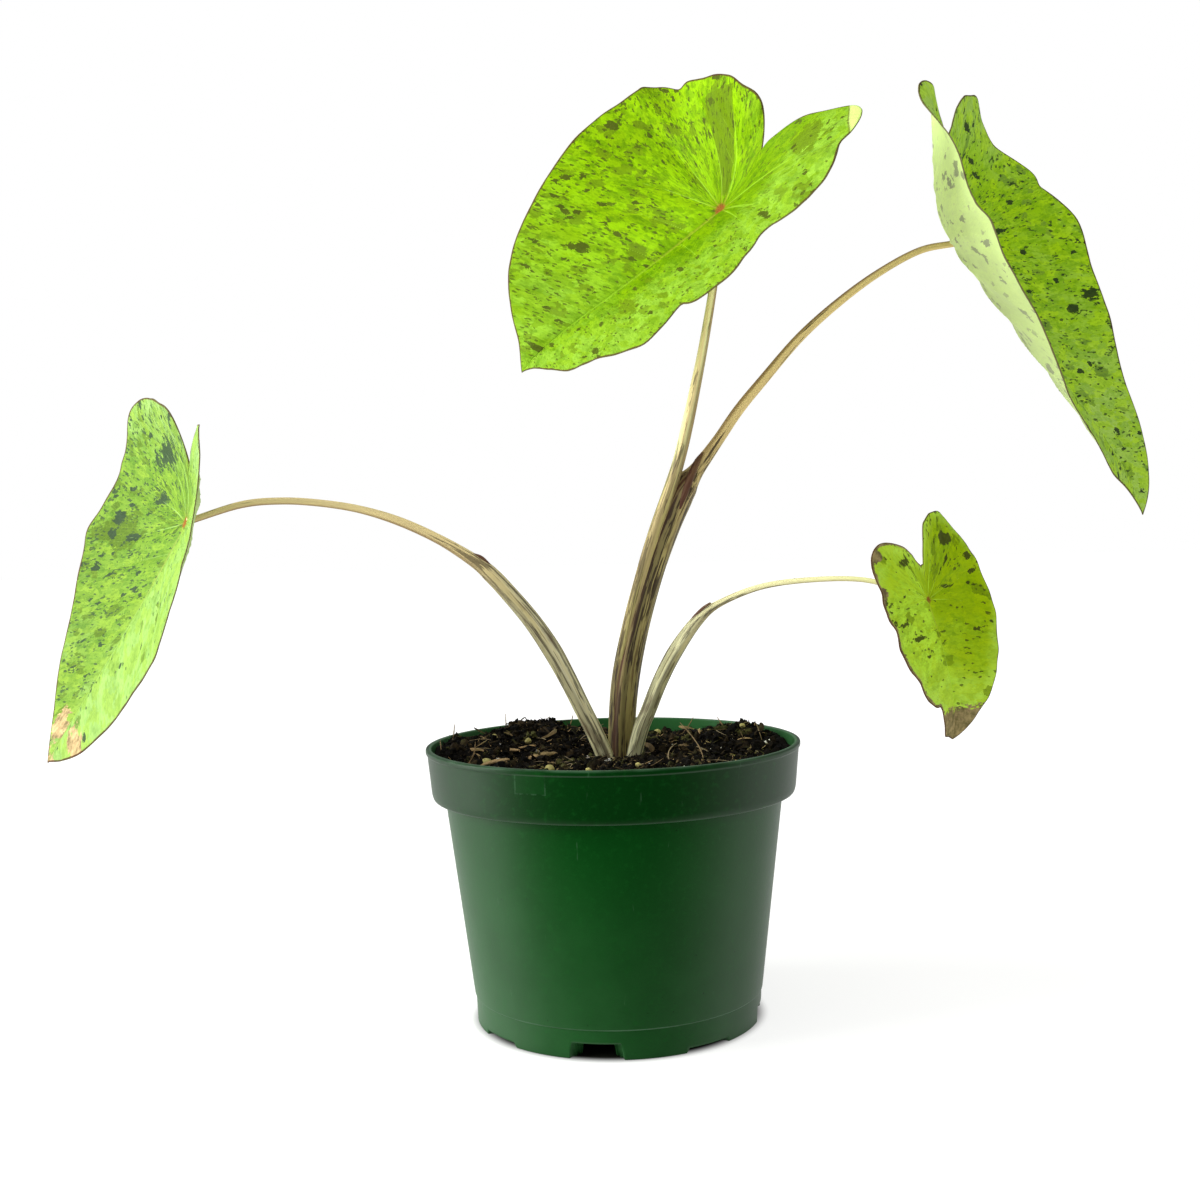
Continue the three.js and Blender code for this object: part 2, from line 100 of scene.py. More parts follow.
BLADES = {
    "leaf_a": {
        "look": "vivid", "length": 115, "joint": (48.7, 0, 325.3), "turn": (215, 18.8, 46.3),
        "rib_curve": 0.08, "tip_curve": 0.5, "sweep": -0.13, "lobe_lift": (15, 51),
        "fold": (21, 15.5), "lobe_fold": (-9, -15), "tip_fold": (3, 23.5), "curl": (-0.01, 0.15),
        "tip_twist": -9, "lobe_twist": -12.5, "wave": 0.8,
        "left": (1, 0.92, 0.85, 0.77, 0.7, 0.63, 0.63, 0.7, 0.73, 0.67, 0.45, 0.26),
        "right": (1, 0.93, 0.88, 0.79, 0.69, 0.65, 0.6, 0.5, 0.47, 0.44, 0.4, 0.26),
        "dents": (
            ((57, 6, 3.5), (69, 4, -9), (90, 5, 2), (110, 6, -6), (142, 6, -7), (168, 4, 5)),
            ((98, 8, 4.5), (110, 4, -5), (131, 7, 2)),
        ),
        "curled": ((-0.55, 0.42, 215, 4.5, -1),), "vein_slope": (-0.35, 0.55),
        "paleness": (0.45, -0.45, 0), "frost_and_sheen": (0.6, 0.3, 0.7, 0), "flecks": (0.4, -0.22, 0.3, 0),
        "patches": (
            (0.5, -0.22, 0.045, 0.028), (0.7, -0.28, 0.035, 0.014), (0.17, -0.57, 0.04, 0.02),
            (-0.14, -0.58, 0.03, 0.02), (0.36, -0.18, 0.02, 0.012), (0.47, -0.37, 0.022, 0.012),
            (0.62, -0.34, 0.025, 0.01), (0.58, 0.37, 0.07, 0.014), (0.55, 0.2, 0.02, 0.01),
            (0.19, 0.27, 0.04, 0.01), (-0.2, 0.43, 0.07, 0.016), (0.8, 0.04, 0.045, 0.012),
            (0.87, -0.02, 0.045, 0.014), (0.54, -0.45, 0.02, 0.01), (0.4, -0.48, 0.02, 0.012),
            (-0.33, -0.36, 0.03, 0.014), (-0.1, 0.57, 0.03, 0.018),
        ),
        "stains": (
            (0.43, 0.21, 0.13, 0.035), (-0.03, -0.4, 0.06, 0.03), (-0.42, 0.2, 0.09, 0.07),
            (0.33, -0.08, 0.05, 0.03), (0.08, -0.5, 0.05, 0.02),
        ),
        "wedge": (124, 150), "tongue": (169, 0.622),
    },
    "leaf_b": {
        "look": "green", "length": 132.5, "joint": (147, 15, 312.3), "turn": (-53.2, 0, -65.3),
        "rib_curve": -0.08, "tip_curve": 0.57, "sweep": -0.13, "lobe_lift": (49, 38),
        "fold": (5, 1), "lobe_fold": (-14, -13), "tip_fold": (10, -1.5), "curl": (0.91, 0.88),
        "tip_twist": 7.5, "lobe_twist": 10, "wave": 0.5,
        "left": (1, 0.95, 0.835, 0.705, 0.65, 0.66, 0.68, 0.6, 0.55, 0.45, 0.36, 0.33),
        "right": (1, 0.9, 0.83, 0.72, 0.68, 0.64, 0.64, 0.65, 0.6, 0.52, 0.43, 0.33),
        "dents": (((11, 9, 3), (74, 10, 4), (106, 7, 9), (120, 5, -3), (136, 5, 6)), ()),
        "curled": ((-0.4, -0.3, 205, 20, -1),), "vein_slope": (0.33, 0.33),
        "paleness": (0.3, 0, 0.2), "frost_and_sheen": (0.7, 0.8, 0, 0), "flecks": (0.5, 0.1, 0, 0),
        "patches": (
            (0.41, 0.45, 0.045, 0.028), (0.56, 0.13, 0.018, 0.014), (0.57, 0.2, 0.016, 0.012),
            (0.41, 0.33, 0.028, 0.018), (0.05, 0.33, 0.045, 0.014), (-0.04, 0.49, 0.03, 0.018),
            (-0.2, 0.36, 0.035, 0.012), (-0.25, 0.32, 0.035, 0.012), (-0.35, 0.28, 0.025, 0.022),
            (0.77, 0.07, 0.022, 0.014), (0.3, 0.37, 0.016, 0.012), (0.16, 0.36, 0.016, 0.012),
            (0.66, -0.3, 0.025, 0.014), (0.45, -0.4, 0.03, 0.016), (0.05, -0.55, 0.04, 0.016),
            (-0.2, -0.45, 0.03, 0.02), (0.3, 0.1, 0.03, 0.02), (0.17, 0.15, 0.03, 0.02),
            (-0.13, 0.14, 0.03, 0.02), (-0.3, -0.2, 0.03, 0.014),
        ),
        "stains": ((0.38, 0.14, 0.05, 0.025), (0.61, 0.22, 0.05, 0.025), (0.25, -0.3, 0.07, 0.03)),
    },
    "leaf_c": {
        "look": "pale", "length": 106, "joint": (-166.7, -17, 204.9), "turn": (239, 3.4, 58.7),
        "rib_curve": -0.2, "tip_curve": 0.15, "sweep": 0.15, "lobe_lift": (30, 49),
        "fold": (6.3, 1), "lobe_fold": (-6, -8), "tip_fold": (-11, 0.5), "curl": (0.35, 0.72),
        "tip_twist": -9, "lobe_twist": -4, "wave": 0.3,
        "left": (1, 0.95, 0.86, 0.74, 0.66, 0.64, 0.65, 0.64, 0.56, 0.42, 0.3, 0.2),
        "right": (1, 0.94, 0.845, 0.72, 0.67, 0.63, 0.66, 0.585, 0.51, 0.46, 0.4, 0.2),
        "dents": (
            ((12, 6, 2), (58, 6, 3.5), (118, 20, -3)),
            ((22, 16, 4), (63, 6, 3.5), (87, 8, -2.5), (120, 12, 6.5)),
        ),
        "vein_slope": (0.3, 0.5), "paleness": (0.3, 0.45, 0.35), "frost_and_sheen": (0.3, 0.8, 0, 0),
        "flecks": (0.62, -0.45, 0, -0.3),
        "patches": (
            (-0.2, -0.27, 0.14, 0.06), (0, -0.28, 0.07, 0.03), (0.18, -0.47, 0.045, 0.028),
            (0.2, -0.33, 0.045, 0.02), (0.25, -0.45, 0.03, 0.02), (0.4, -0.43, 0.025, 0.016),
            (0.05, -0.5, 0.025, 0.014), (-0.25, -0.42, 0.025, 0.012), (0.28, -0.15, 0.02, 0.012),
            (0.5, -0.35, 0.02, 0.01), (0.82, 0.16, 0.025, 0.018), (0.55, 0.13, 0.02, 0.014),
            (0.42, 0.27, 0.02, 0.014), (0.33, -0.05, 0.02, 0.014),
        ),
        "stains": ((0.55, -0.17, 0.04, 0.025), (0.22, -0.42, 0.16, 0.09), (0.3, 0.3, 0.05, 0.02)),
        "dead": ((0.88, -0.06, 0.07, 0.06), (0.87, 0.12, 0.1, 0.045)), "dead_tip": 0.965,
    },
    "leaf_d": {
        "look": "olive", "length": 59, "joint": (124.2, -25, 167.4), "turn": (-70.3, 5.7, -47.7),
        "rib_curve": 0.23, "tip_curve": 0.5, "sweep": -0.02, "lobe_lift": (14, 15),
        "fold": (6, 5.5), "lobe_fold": (-12.5, -27.5), "tip_fold": (20, 10.5), "curl": (0.09, 0.12),
        "tip_twist": 4, "lobe_twist": 11.5, "wave": 0.4,
        "left": (1, 0.96, 0.89, 0.79, 0.66, 0.62, 0.64, 0.66, 0.61, 0.51, 0.36, 0.24),
        "right": (1, 0.95, 0.88, 0.73, 0.69, 0.65, 0.62, 0.65, 0.62, 0.47, 0.33, 0.24),
        "dents": (
            ((21, 4, 2), (36, 4, -1.5), (60, 6, 2.7), (94, 6, 3.3), (130, 9, 3), (162, 5, 7),
             (174, 3, -15)),
            ((12, 4, 2), (24, 4, -6.5), (54, 5, -3), (66, 4, 2.5), (96, 4, 3), (114, 4, -3),
             (168, 4, 5)),
        ),
        "vein_slope": (0.33, -0.2), "paleness": (0.4, -0.35, 0.5), "frost_and_sheen": (0.7, 0.5, -0.3, 0.8),
        "flecks": (0.3, 0.05, 0, -0.25),
        "patches": (
            (0.15, -0.36, 0.12, 0.018), (0.01, -0.46, 0.08, 0.018), (0.3, -0.27, 0.04, 0.014),
            (-0.33, -0.2, 0.05, 0.035), (-0.3, 0.4, 0.1, 0.05), (-0.02, 0.22, 0.07, 0.016),
            (0.35, 0.37, 0.035, 0.018), (0.05, 0.45, 0.03, 0.014), (-0.12, 0.55, 0.05, 0.03),
        ),
        "stains": ((0.24, -0.02, 0.04, 0.03),),
        "dead": ((0.15, -0.66, 0.06, 0.04), (-0.24, -0.56, 0.06, 0.04), (-0.45, -0.45, 0.06, 0.05)),
        "dead_tip": 0.76, "scorch": 1.5,
    },
}

# Leaf colours: the upper side, its bloom, stains, flecks, dead tissue and the underside
LEAF_LOOKS = {
    "vivid": (
        (0.127, 0.25, 0.0003), (0.235, 0.44, 0.0003), (0.1, 0.16, 0.004),
        (0.035, 0.045, 0.004), (0.3, 0.18, 0.06), (0.5, 0.68, 0.17),
    ),
    "green": (
        (0.31, 0.57, 0.003), (0.4, 0.64, 0.09), (0.13, 0.24, 0.03),
        (0.012, 0.022, 0.008), (0.3, 0.2, 0.08), (0.73, 0.85, 0.37),
    ),
    "pale": (
        (0.155, 0.27, 0.028), (0.25, 0.4, 0.1), (0.07, 0.12, 0.01),
        (0.018, 0.032, 0.016), (0.62, 0.42, 0.22), (0.6, 0.78, 0.26),
    ),
    "olive": (
        (0.3, 0.465, 0.0003), (0.49, 0.8, 0.042), (0.12, 0.2, 0.002),
        (0.03, 0.035, 0.004), (0.36, 0.26, 0.13), (0.5, 0.66, 0.16),
    ),
}
# the dark margin, also the painted shade along the fold of a rolled tip
RIM_AND_FOLD_SHADE_COLOR = (0.07, 0.026, 0.014)
JOINT_COLOR = (0.26, 0.08, 0.018)
RUST_COLOR = (0.3, 0.14, 0.025)

# Sizes and colours of the stems
#
# tones: colours at the foot, in the middle and at the top
# streaks, cream: how many dark streaks and how much pale mottling there is
# shade: which side is browner near the top, partly painted shade and partly the stem's own brown, 1 for
# the right and -1 for the left
# sheath_end: the share of the route at which the sheath ends
# sheath_angle: where its margin shows round the stem, and how far that turns on the way up
# route: from the corm to the blade, x, y, z and radius in millimetres
# flap: the route of the sheath's free end
STEMS = {
    "petiole_a": {
        "tones": ((0.3, 0.26, 0.09), (0.55, 0.42, 0.2), (1, 0.79, 0.41)), "streaks": 0.35,
        "cream": 0.85, "shade": 1, "sheath_end": 0, "sheath_angle": (0, 0),
        "route": (
            (1, 3.5, 86, 2.7), (2, 5, 110.5, 2.9), (3.4, 4.5, 134.1, 2.7), (7.4, 3, 156.6, 2.6),
            (13.8, 1.4, 179.9, 2.6), (19.5, 0.4, 197.3, 2.6), (26.4, 0.3, 215.6, 2.6),
            (30.4, 0.8, 227.7, 2.4), (33.5, 1.4, 239.7, 2.4), (36.4, 1.9, 251.8, 2.2),
            (40.4, 2.2, 269.7, 1.9), (44.6, 1.6, 291.6, 1.7), (47.4, 0.9, 309.4, 1.6),
            (48.5, 0.9, 323, 1.4),
        ),
        "flap": None,
    },
    "petiole_b": {
        "tones": ((0.29, 0.25, 0.08), (0.46, 0.35, 0.16), (0.76, 0.57, 0.25)), "streaks": 0.75,
        "cream": 0.3, "shade": -1, "sheath_end": 0.5, "sheath_angle": (236, 20),
        "route": (
            (3, 2.5, 86, 4), (3.4, 5.5, 110.4, 5.4), (5.4, 5.5, 134, 5.7), (10.1, 5.5, 156.6, 5.5),
            (16.8, 5.5, 179.8, 5.5), (23, 5.5, 197.3, 5.9), (28.2, 5.5, 209.4, 6.3),
            (32, 5.5, 215.5, 5.6), (37.1, 5.9, 221.5, 3.1), (46.2, 6.9, 233.5, 2.3),
            (54.9, 7.8, 245.6, 2.2), (64.9, 8.8, 257.2, 2.1), (81, 10.2, 274.9, 1.9),
            (97.9, 11.6, 289.3, 1.7), (114.7, 12.9, 300.9, 1.5), (131.5, 14, 309.4, 1.4),
            (146.6, 15, 312.2, 1.3),
        ),
        "flap": (
            (28.5, 1, 203, 0.4), (31, 0, 210.5, 1.4), (34, 1, 218, 1.6), (37, 3, 224.5, 1.3),
            (39.6, 4.8, 228.5, 0.4),
        ),
    },
    "petiole_c": {
        "tones": ((0.95, 0.87, 0.52), (0.6, 0.51, 0.25), (0.78, 0.62, 0.3)), "streaks": 0.4,
        "cream": 0.3, "shade": -1, "sheath_end": 0.56, "sheath_angle": (70, 0),
        "route": (
            (1, -0.5, 86, 3.4), (-2.5, -3, 103.6, 3.5), (-6.7, -3.9, 114.9, 3.5),
            (-11.5, -4.7, 125.3, 3.5), (-17.2, -5.6, 137.7, 3.6), (-23.5, -6.6, 150.1, 3.9),
            (-31.4, -7.7, 162.5, 3.6), (-40.5, -8.8, 174, 3.4), (-46.8, -9.5, 181.1, 3.3),
            (-53.6, -10.1, 187, 2.6), (-66.8, -11.3, 195.6, 1.9), (-82.4, -12.6, 203.3, 1.8),
            (-97.9, -13.8, 208.5, 1.5), (-113.5, -15, 211.4, 1.4), (-129, -16.1, 212.6, 1.4),
            (-144.6, -17.3, 211.4, 1.4), (-165.6, -17, 205.4, 1.3),
        ),
        "flap": (
            (-42, -9.5, 177.5, 0.6), (-46.5, -10, 183.2, 1.1), (-50.5, -10.4, 187.8, 1),
            (-54, -10.8, 189.8, 0.4),
        ),
    },
    "petiole_d": {
        "tones": ((0.82, 0.78, 0.46), (0.62, 0.55, 0.26), (0.9, 0.79, 0.44)), "streaks": 0.4,
        "cream": 0.4, "shade": 1, "sheath_end": 0.54, "sheath_angle": (130, 0),
        "route": (
            (5, -1, 86, 2.8), (8.5, -1, 104.7, 3.1), (11.6, -2.7, 116.3, 3.1), (15, -3.9, 124.5, 3),
            (20.1, -5.8, 136.8, 3), (26.6, -7.8, 149, 3), (35.6, -9.9, 161.2, 2.3),
            (44.2, -11.5, 167.6, 1.4), (60, -14, 173.7, 1.2), (78.3, -16.8, 176.1, 1.1),
            (99.1, -19.9, 175.9, 1), (115.8, -22.5, 171.4, 1), (123.3, -24.7, 167.8, 1),
        ),
        "flap": (
            (31, -9.5, 158, 0.5), (34, -10.2, 161.8, 1), (37.5, -10.8, 165.4, 0.9),
            (40.5, -11.2, 167.8, 0.4),
        ),
    },
}

STEM_ROWS = 260
SCROLL_STEP = 0.14  # share by which a sheathed section grows from its margin once round to it
SCROLL_EDGE = 14  # degrees over which it drops back
SCROLL_FADE = 0.06  # share of the route over which the sheath fades out

# Sizes of the pot in millimetres
POT = {
    "height": 111.8, "lip_radius": 76, "lip_height": 2.4, "lip_proud": 0.6, "lip_width": 1.9,
    "band_bottom": 91.3, "band_radius": 73.9, "shoulder_radius": 68.6, "seam_height": 11.4,
    "seam_radius": 58.9, "seam_step": 0.5, "foot_radius": 58, "foot_width": 6, "wall": 1.6,
    "edge": 0.7, "floor_bottom": 6.3, "floor_top": 8, "low_notch": 2,
}
POT_SIDES = 240
NOTCH = {"count": 8, "middle": -98.9, "outer_width": 20, "inner_width": 12, "corner": 1.3}
MARK = {"x": -30.5, "below_lip": 5.4, "half_width": 5.8, "half_height": 4, "line": 0.5}
# pale green of wear, also used for painted highlights along the pot's edges
WORN_AND_HIGHLIGHT_COLOR = (0.08, 0.17, 0.095)

# Sizes of the soil in millimetres. A mound has x, y, height and reach.
SOIL_LEVEL = 105.5
SOIL_MOUNDS = (
    (-35, 52, 8, 22), (58, 28, 7, 22), (-63, 16, 5.5, 19), (-62, -12, 3, 16),
    (10, -45, 1.5, 25), (3, 1, -2.5, 14),
)
# Tan chips: x, y, heading, length, width and thickness
CHIPS = (
    (-37, -9, 28, 17, 4.5, 2.2), (-29, -18, -25, 13, 3.0, 1.6), (-40, 10, 35, 11, 2.4, 1.2),
    (21, 2, 70, 15, 4.5, 2.4), (28, 16, -80, 12, 2.6, 1.4), (-52, -30, 10, 12, 3.0, 1.5),
    (44, -38, -30, 10, 2.2, 1.2), (-10, 50, 15, 13, 3.2, 1.6), (40, 45, 160, 12, 3.0, 1.4),
    (-22, -32, 5, 10, 2.2, 1.3), (-47, 2, -15, 9, 1.8, 1.1),
)
# Feed granules: x, y and diameter
GRANULES = (
    (-49.9, -24.8, 4.8), (-9.7, -44, 3.6), (9.3, -46, 2.8), (-24.3, -40, 3.6), (-36, 24, 3.0),
    (48, -8, 3.0), (-50, 20, 3.0), (20, 55, 3.2), (-12, 60, 3.0), (55, 22, 2.6), (8, 30, 2.8),
)
# Straws that stand up or cross the soil: x, y, heading, pitch, length and bend
SPRIGS = (
    (-70, -2, 100, 70, 5, 0.3), (-67, 14, 60, 65, 7, 0.4), (-47, 54, 110, 60, 8, -0.4),
    (-20, 60, 30, 55, 7, 0.5), (35, -30, 85, 14, 30, 0.7), (22, -34, 100, 18, 26, -0.6),
    (-38, 22, 65, 6, 18, 0.2), (30, 40, 20, 40, 10, 0.5), (62, 10, 100, 50, 9, 0.5),
    (50, 40, 140, 45, 9, -0.5), (-58, -28, 45, 25, 14, 0.9), (8, -50, -20, 15, 12, 0.7),
)
# Shares of the crumbs, with their least and greatest size
CRUMB_SIZES = ((0.6, 0.35, 0.9), (0.3, 0.7, 1.6), (0.1, 1.3, 2.6))
# Shares of the bark: length, width, thickness, steepest pitch and number of stations
BARK_SIZES = (
    (0.86, (1.2, 4), (0.25, 0.9), 0.35, 0.9, 4),
    (0.12, (3, 8), (0.6, 1.8), 0.5, 0.35, 6),
    (0.02, (7, 13), (1.4, 3.2), 0.9, 0.35, 8),
)

# Lamps: place and size in metres, power in watts and colour
LAMPS = {
    "lamp_left": ((-1.0, -0.15, 0.45), (0.8, 1.0), 23, (0.94, 1, 0.95)),
    "lamp_right": ((1.0, 0.1, 0.4), (0.6, 0.9), 1, (1, 1, 1)),
    "lamp_top": ((-0.1, -0.35, 1.3), (1.3, 1.0), 6, (1, 1, 1)),
}
LAMP_TARGET = (0, 0, 0.17)
FLOOR_GLOW = 0.8
WORLD_LIGHT = (0.44, 0.3)  # behind and in front
CAMERA_PLACE = (0, -0.6, 0.1972)
CAMERA_TURN = (-0.355, 2.643, -1.462)  # yaw, pitch and roll in degrees
CAMERA_LENS, CAMERA_SENSOR = 44.283, 36  # focal length and width in millimetres


# Curves and meshes


def toned(color, factor, lift=0.0, limit=math.inf):
    """A colour made darker or paler: each channel times a factor, plus a lift, up to a limit."""
    return tuple(min(c * factor + lift, limit) for c in color)


def curve_through(points, count, reflected=False):
    """A curve through points: on each stretch a cubic blend of the four points around it.

    Past its ends the row of points is held still, or goes on as a mirror image if reflected.
    """
    points = np.asarray(points, float)
    first, last = points[0], points[-1]
    if reflected:
        first, last = 2 * first - points[1], 2 * last - points[-2]
    row = np.vstack([first[None], points, last[None]])
    place = np.linspace(0, len(points) - 1, count)
    low = np.minimum(place.astype(int), len(points) - 2)
    t = (place - low)[:, None]
    before, start, end, after = (row[low + k] for k in range(4))
    leaving, arriving = (end - before) / 2, (after - start) / 2
    cubic = 2 * start - 2 * end + leaving + arriving
    square = 3 * end - 3 * start - 2 * leaving - arriving
    return cubic * t**3 + square * t**2 + leaving * t + start


def hash_noise(points, seed):
    """Smooth value noise in space: random values on a unit lattice, blended by eased weights."""
    rng = np.random.default_rng(seed)
    table = rng.random(4096)
    cell = np.floor(points).astype(int)
    share = points - cell
    eased = share * share * (3 - 2 * share)
    total = 0
    for corner in np.ndindex(2, 2, 2):
        index = cell + corner
        key = (index[..., 0] * 73856093) ^ (index[..., 1] * 19349663) ^ (index[..., 2] * 83492791)
        weight = np.prod(np.where(corner, eased, 1 - eased), axis=-1)
        total = total + table[key % 4096] * weight
    return total * 2 - 1


def layered_noise(points, seed, layers=4):
    """Value noise summed over layers, each of half the size and half the height."""
    return sum(hash_noise(points * 2**k + 17.3 * k, seed + k) / 2**k for k in range(layers))


def closed_skin(first, rings, last):
    """Points and faces of a closed skin from a pole over rings of equal count to another pole."""
    count = rings.shape[1]
    points = np.vstack([first[None], rings.reshape(-1, 3), last[None]])
    ring, k = (a.ravel() for a in np.meshgrid(np.arange(len(rings) - 1), np.arange(count), indexing="ij"))
    after = (k + 1) % count
    quads = np.stack([1 + ring * count + k, 1 + (ring + 1) * count + k,
                      1 + (ring + 1) * count + after, 1 + ring * count + after], -1)
    k = np.arange(count)
    start = 1 + (len(rings) - 1) * count
    first_cap = np.stack([0 * k, 1 + k, 1 + (k + 1) % count], -1)
    last_cap = np.stack([start + k, 0 * k + len(points) - 1, start + (k + 1) % count], -1)
    return points, quads.tolist() + first_cap.tolist() + last_cap.tolist()


def add_piece(name, points, faces, materials, node=None, fields=None, material_of=None,
              smooth=True):
    """A mesh piece on the root body, with one attribute for each named field."""
    mesh = bpy.data.meshes.new(name)
    mesh.from_pydata(points, [], faces)
    mesh.polygons.foreach_set("use_smooth", np.full(len(mesh.polygons), smooth))
    for field, values in (fields or {}).items():
        kind, entry = ("FLOAT", "value") if values.ndim == 1 else ("FLOAT_VECTOR", "vector")
        attribute = mesh.attributes.new(field, kind, "POINT")
        attribute.data.foreach_set(entry, values.astype(np.float32).ravel())
    for material in materials:
        mesh.materials.append(material)
    if material_of is not None:
        mesh.polygons.foreach_set("material_index", material_of.astype(np.int32))
    mesh.update()
    piece = bpy.data.objects.new(name, mesh)
    bpy.context.scene.collection.objects.link(piece)
    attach(piece, "root")
    if node:
        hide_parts(node)
    return piece


# Materials


class Value:
    """One output of a shader node, with Python's arithmetic as Math nodes."""

    def __init__(self, graph, socket):
        self.graph = graph
        self.socket = socket

    def _math(self, operation, first, second):
        return self.graph.add("ShaderNodeMath", {"operation": operation}, first, second)

    def __add__(self, other):
        return self._math("ADD", self, other)

    def __radd__(self, other):
        return self._math("ADD", other, self)

    def __sub__(self, other):
        return self._math("SUBTRACT", self, other)

    def __rsub__(self, other):
        return self._math("SUBTRACT", other, self)

    def __mul__(self, other):
        return self._math("MULTIPLY", self, other)

    def __rmul__(self, other):
        return self._math("MULTIPLY", other, self)

    def __pow__(self, other):
        return self._math("POWER", self, other)

    def __abs__(self):
        return self._math("ABSOLUTE", self, 0)

    def least(self, other):
        return self._math("MINIMUM", self, other)

    def most(self, other):
        return self._math("MAXIMUM", self, other)


class Graph:
    """The node tree of a new material or world."""

    def __init__(self, name, make=None):
        self.owner = (make or bpy.data.materials.new)(name)
        self.owner.use_nodes = True
        self.tree = self.owner.node_tree
        self.tree.nodes.clear()

    def add(self, kind, settings, *values, output=0, **named):
        """Adds a node: its settings first, then the values or links of its sockets."""
        node = self.tree.nodes.new(kind)
        for name, setting in settings.items():
            if name == "stops":
                self._set_stops(node.color_ramp, setting)
            else:
                setattr(node, name, setting)
        for place, value in [*enumerate(values), *named.items()]:
            socket = node.inputs[place.replace("_", " ") if isinstance(place, str) else place]
            if isinstance(value, Value):
                self.tree.links.new(value.socket, socket)
            elif value is not None:
                socket.default_value = value
        return Value(self, node.outputs[output])

    def _set_stops(self, ramp, stops):
        for index, (place, color) in enumerate(stops):
            stop = ramp.elements[index] if index < 2 else ramp.elements.new(place)
            stop.position = place
            stop.color = (*color, 1)

    def attribute(self, name, output="Fac"):
        return self.add("ShaderNodeAttribute", {"attribute_name": name}, output=output)

    def place(self):
        return self.add("ShaderNodeTexCoord", {}, output="Object")

    def scaled(self, vector, scale, shift=(0, 0, 0)):
        return self.add("ShaderNodeMapping", {}, Vector=vector, Scale=scale, Location=shift)

    def parts(self, vector):
        """The three numbers of a vector or colour."""
        split = self.add("ShaderNodeSeparateXYZ", {}, vector)
        return [Value(self, socket) for socket in split.socket.node.outputs]

    def noise(self, vector, scale, detail=3.0, roughness=0.55, distortion=0.0):
        return self.add("ShaderNodeTexNoise", {}, Vector=vector, Scale=scale, Detail=detail,
                        Roughness=roughness, Distortion=distortion)

    def cells(self, vector, scale, randomness=1.0, feature="F1", output=0):
        return self.add("ShaderNodeTexVoronoi", {"feature": feature}, Vector=vector, Scale=scale,
                        Randomness=randomness, output=output)

    def shaken(self, vector, scale, distance):
        """The vector moved about by noise, for ragged edges."""
        color = self.add("ShaderNodeTexNoise", {}, Vector=vector, Scale=scale, Detail=2.0, output="Color")
        settings = {"operation": "MULTIPLY_ADD"}
        return self.add("ShaderNodeVectorMath", settings, color, (distance,) * 3, vector)

    def picks(self, vector, scale):
        """Three random values for each cell of a Voronoi pattern, even from 0 to 1."""
        return self.parts(self.cells(vector, scale, output="Color"))

    def step(self, value, low, high):
        """0 below low and 1 above high, or the other way round if low is the higher."""
        settings = {"interpolation_type": "SMOOTHSTEP"}
        return self.add("ShaderNodeMapRange", settings, value, low, high, 0.0, 1.0)

    def mix(self, share, first, second, blend="MIX"):
        """A colour between two, where a colour is a triple or an output."""
        node = self.tree.nodes.new("ShaderNodeMix")
        node.data_type = "RGBA"
        node.blend_type = blend
        for socket, value in ((node.inputs[0], share), (node.inputs[6], first), (node.inputs[7], second)):
            if isinstance(value, Value):
                self.tree.links.new(value.socket, socket)
            else:
                socket.default_value = (*value, 1) if isinstance(value, tuple) else value
        return Value(self, node.outputs[2])

    def ramp(self, value, stops):
        return self.add("ShaderNodeValToRGB", {"stops": stops}, value)

    def bump(self, height, distance, strength):
        return self.add("ShaderNodeBump", {}, Height=height, Distance=distance, Strength=strength)

    def finish(self, **sockets):
        """Sets the Principled shader's sockets and returns the material."""
        shader = self.add("ShaderNodeBsdfPrincipled", {}, **sockets)
        output = self.tree.nodes.new("ShaderNodeOutputMaterial")
        self.tree.links.new(shader.socket, output.inputs["Surface"])
        return self.owner


# Blades


def outline_radius(blade, count):
    """The margin of a flat blade, once round from the tip over the left half: points and angles.

    A curve runs through the points at the outline's angles. Each dent changes its distance from
    the joint by a share, as a bell curve of the angle.
    """
    halves = []
    for shares, side, dents in zip((blade["left"], blade["right"]), (1, -1), blade["dents"]):
        angles = np.radians(OUTLINE_ANGLES)
        radius = np.array(shares) * blade["length"] * MM
        points = np.stack([radius * np.cos(angles), side * radius * np.sin(angles)], -1)
        half = curve_through(points, count)
        turn = np.degrees(np.arctan2(half[:, 1] * side, half[:, 0]))
        for middle, width, depth in dents:
            half = half * (1 + depth / 100 * np.exp(-(((turn - middle) / width) ** 2)))[:, None]
        halves.append(half)
    margin = np.vstack([halves[0], halves[1][-2:0:-1]])
    margin[0, 1] = margin[count - 1, 1] = 0
    return margin, np.arctan2(margin[:, 1], margin[:, 0])


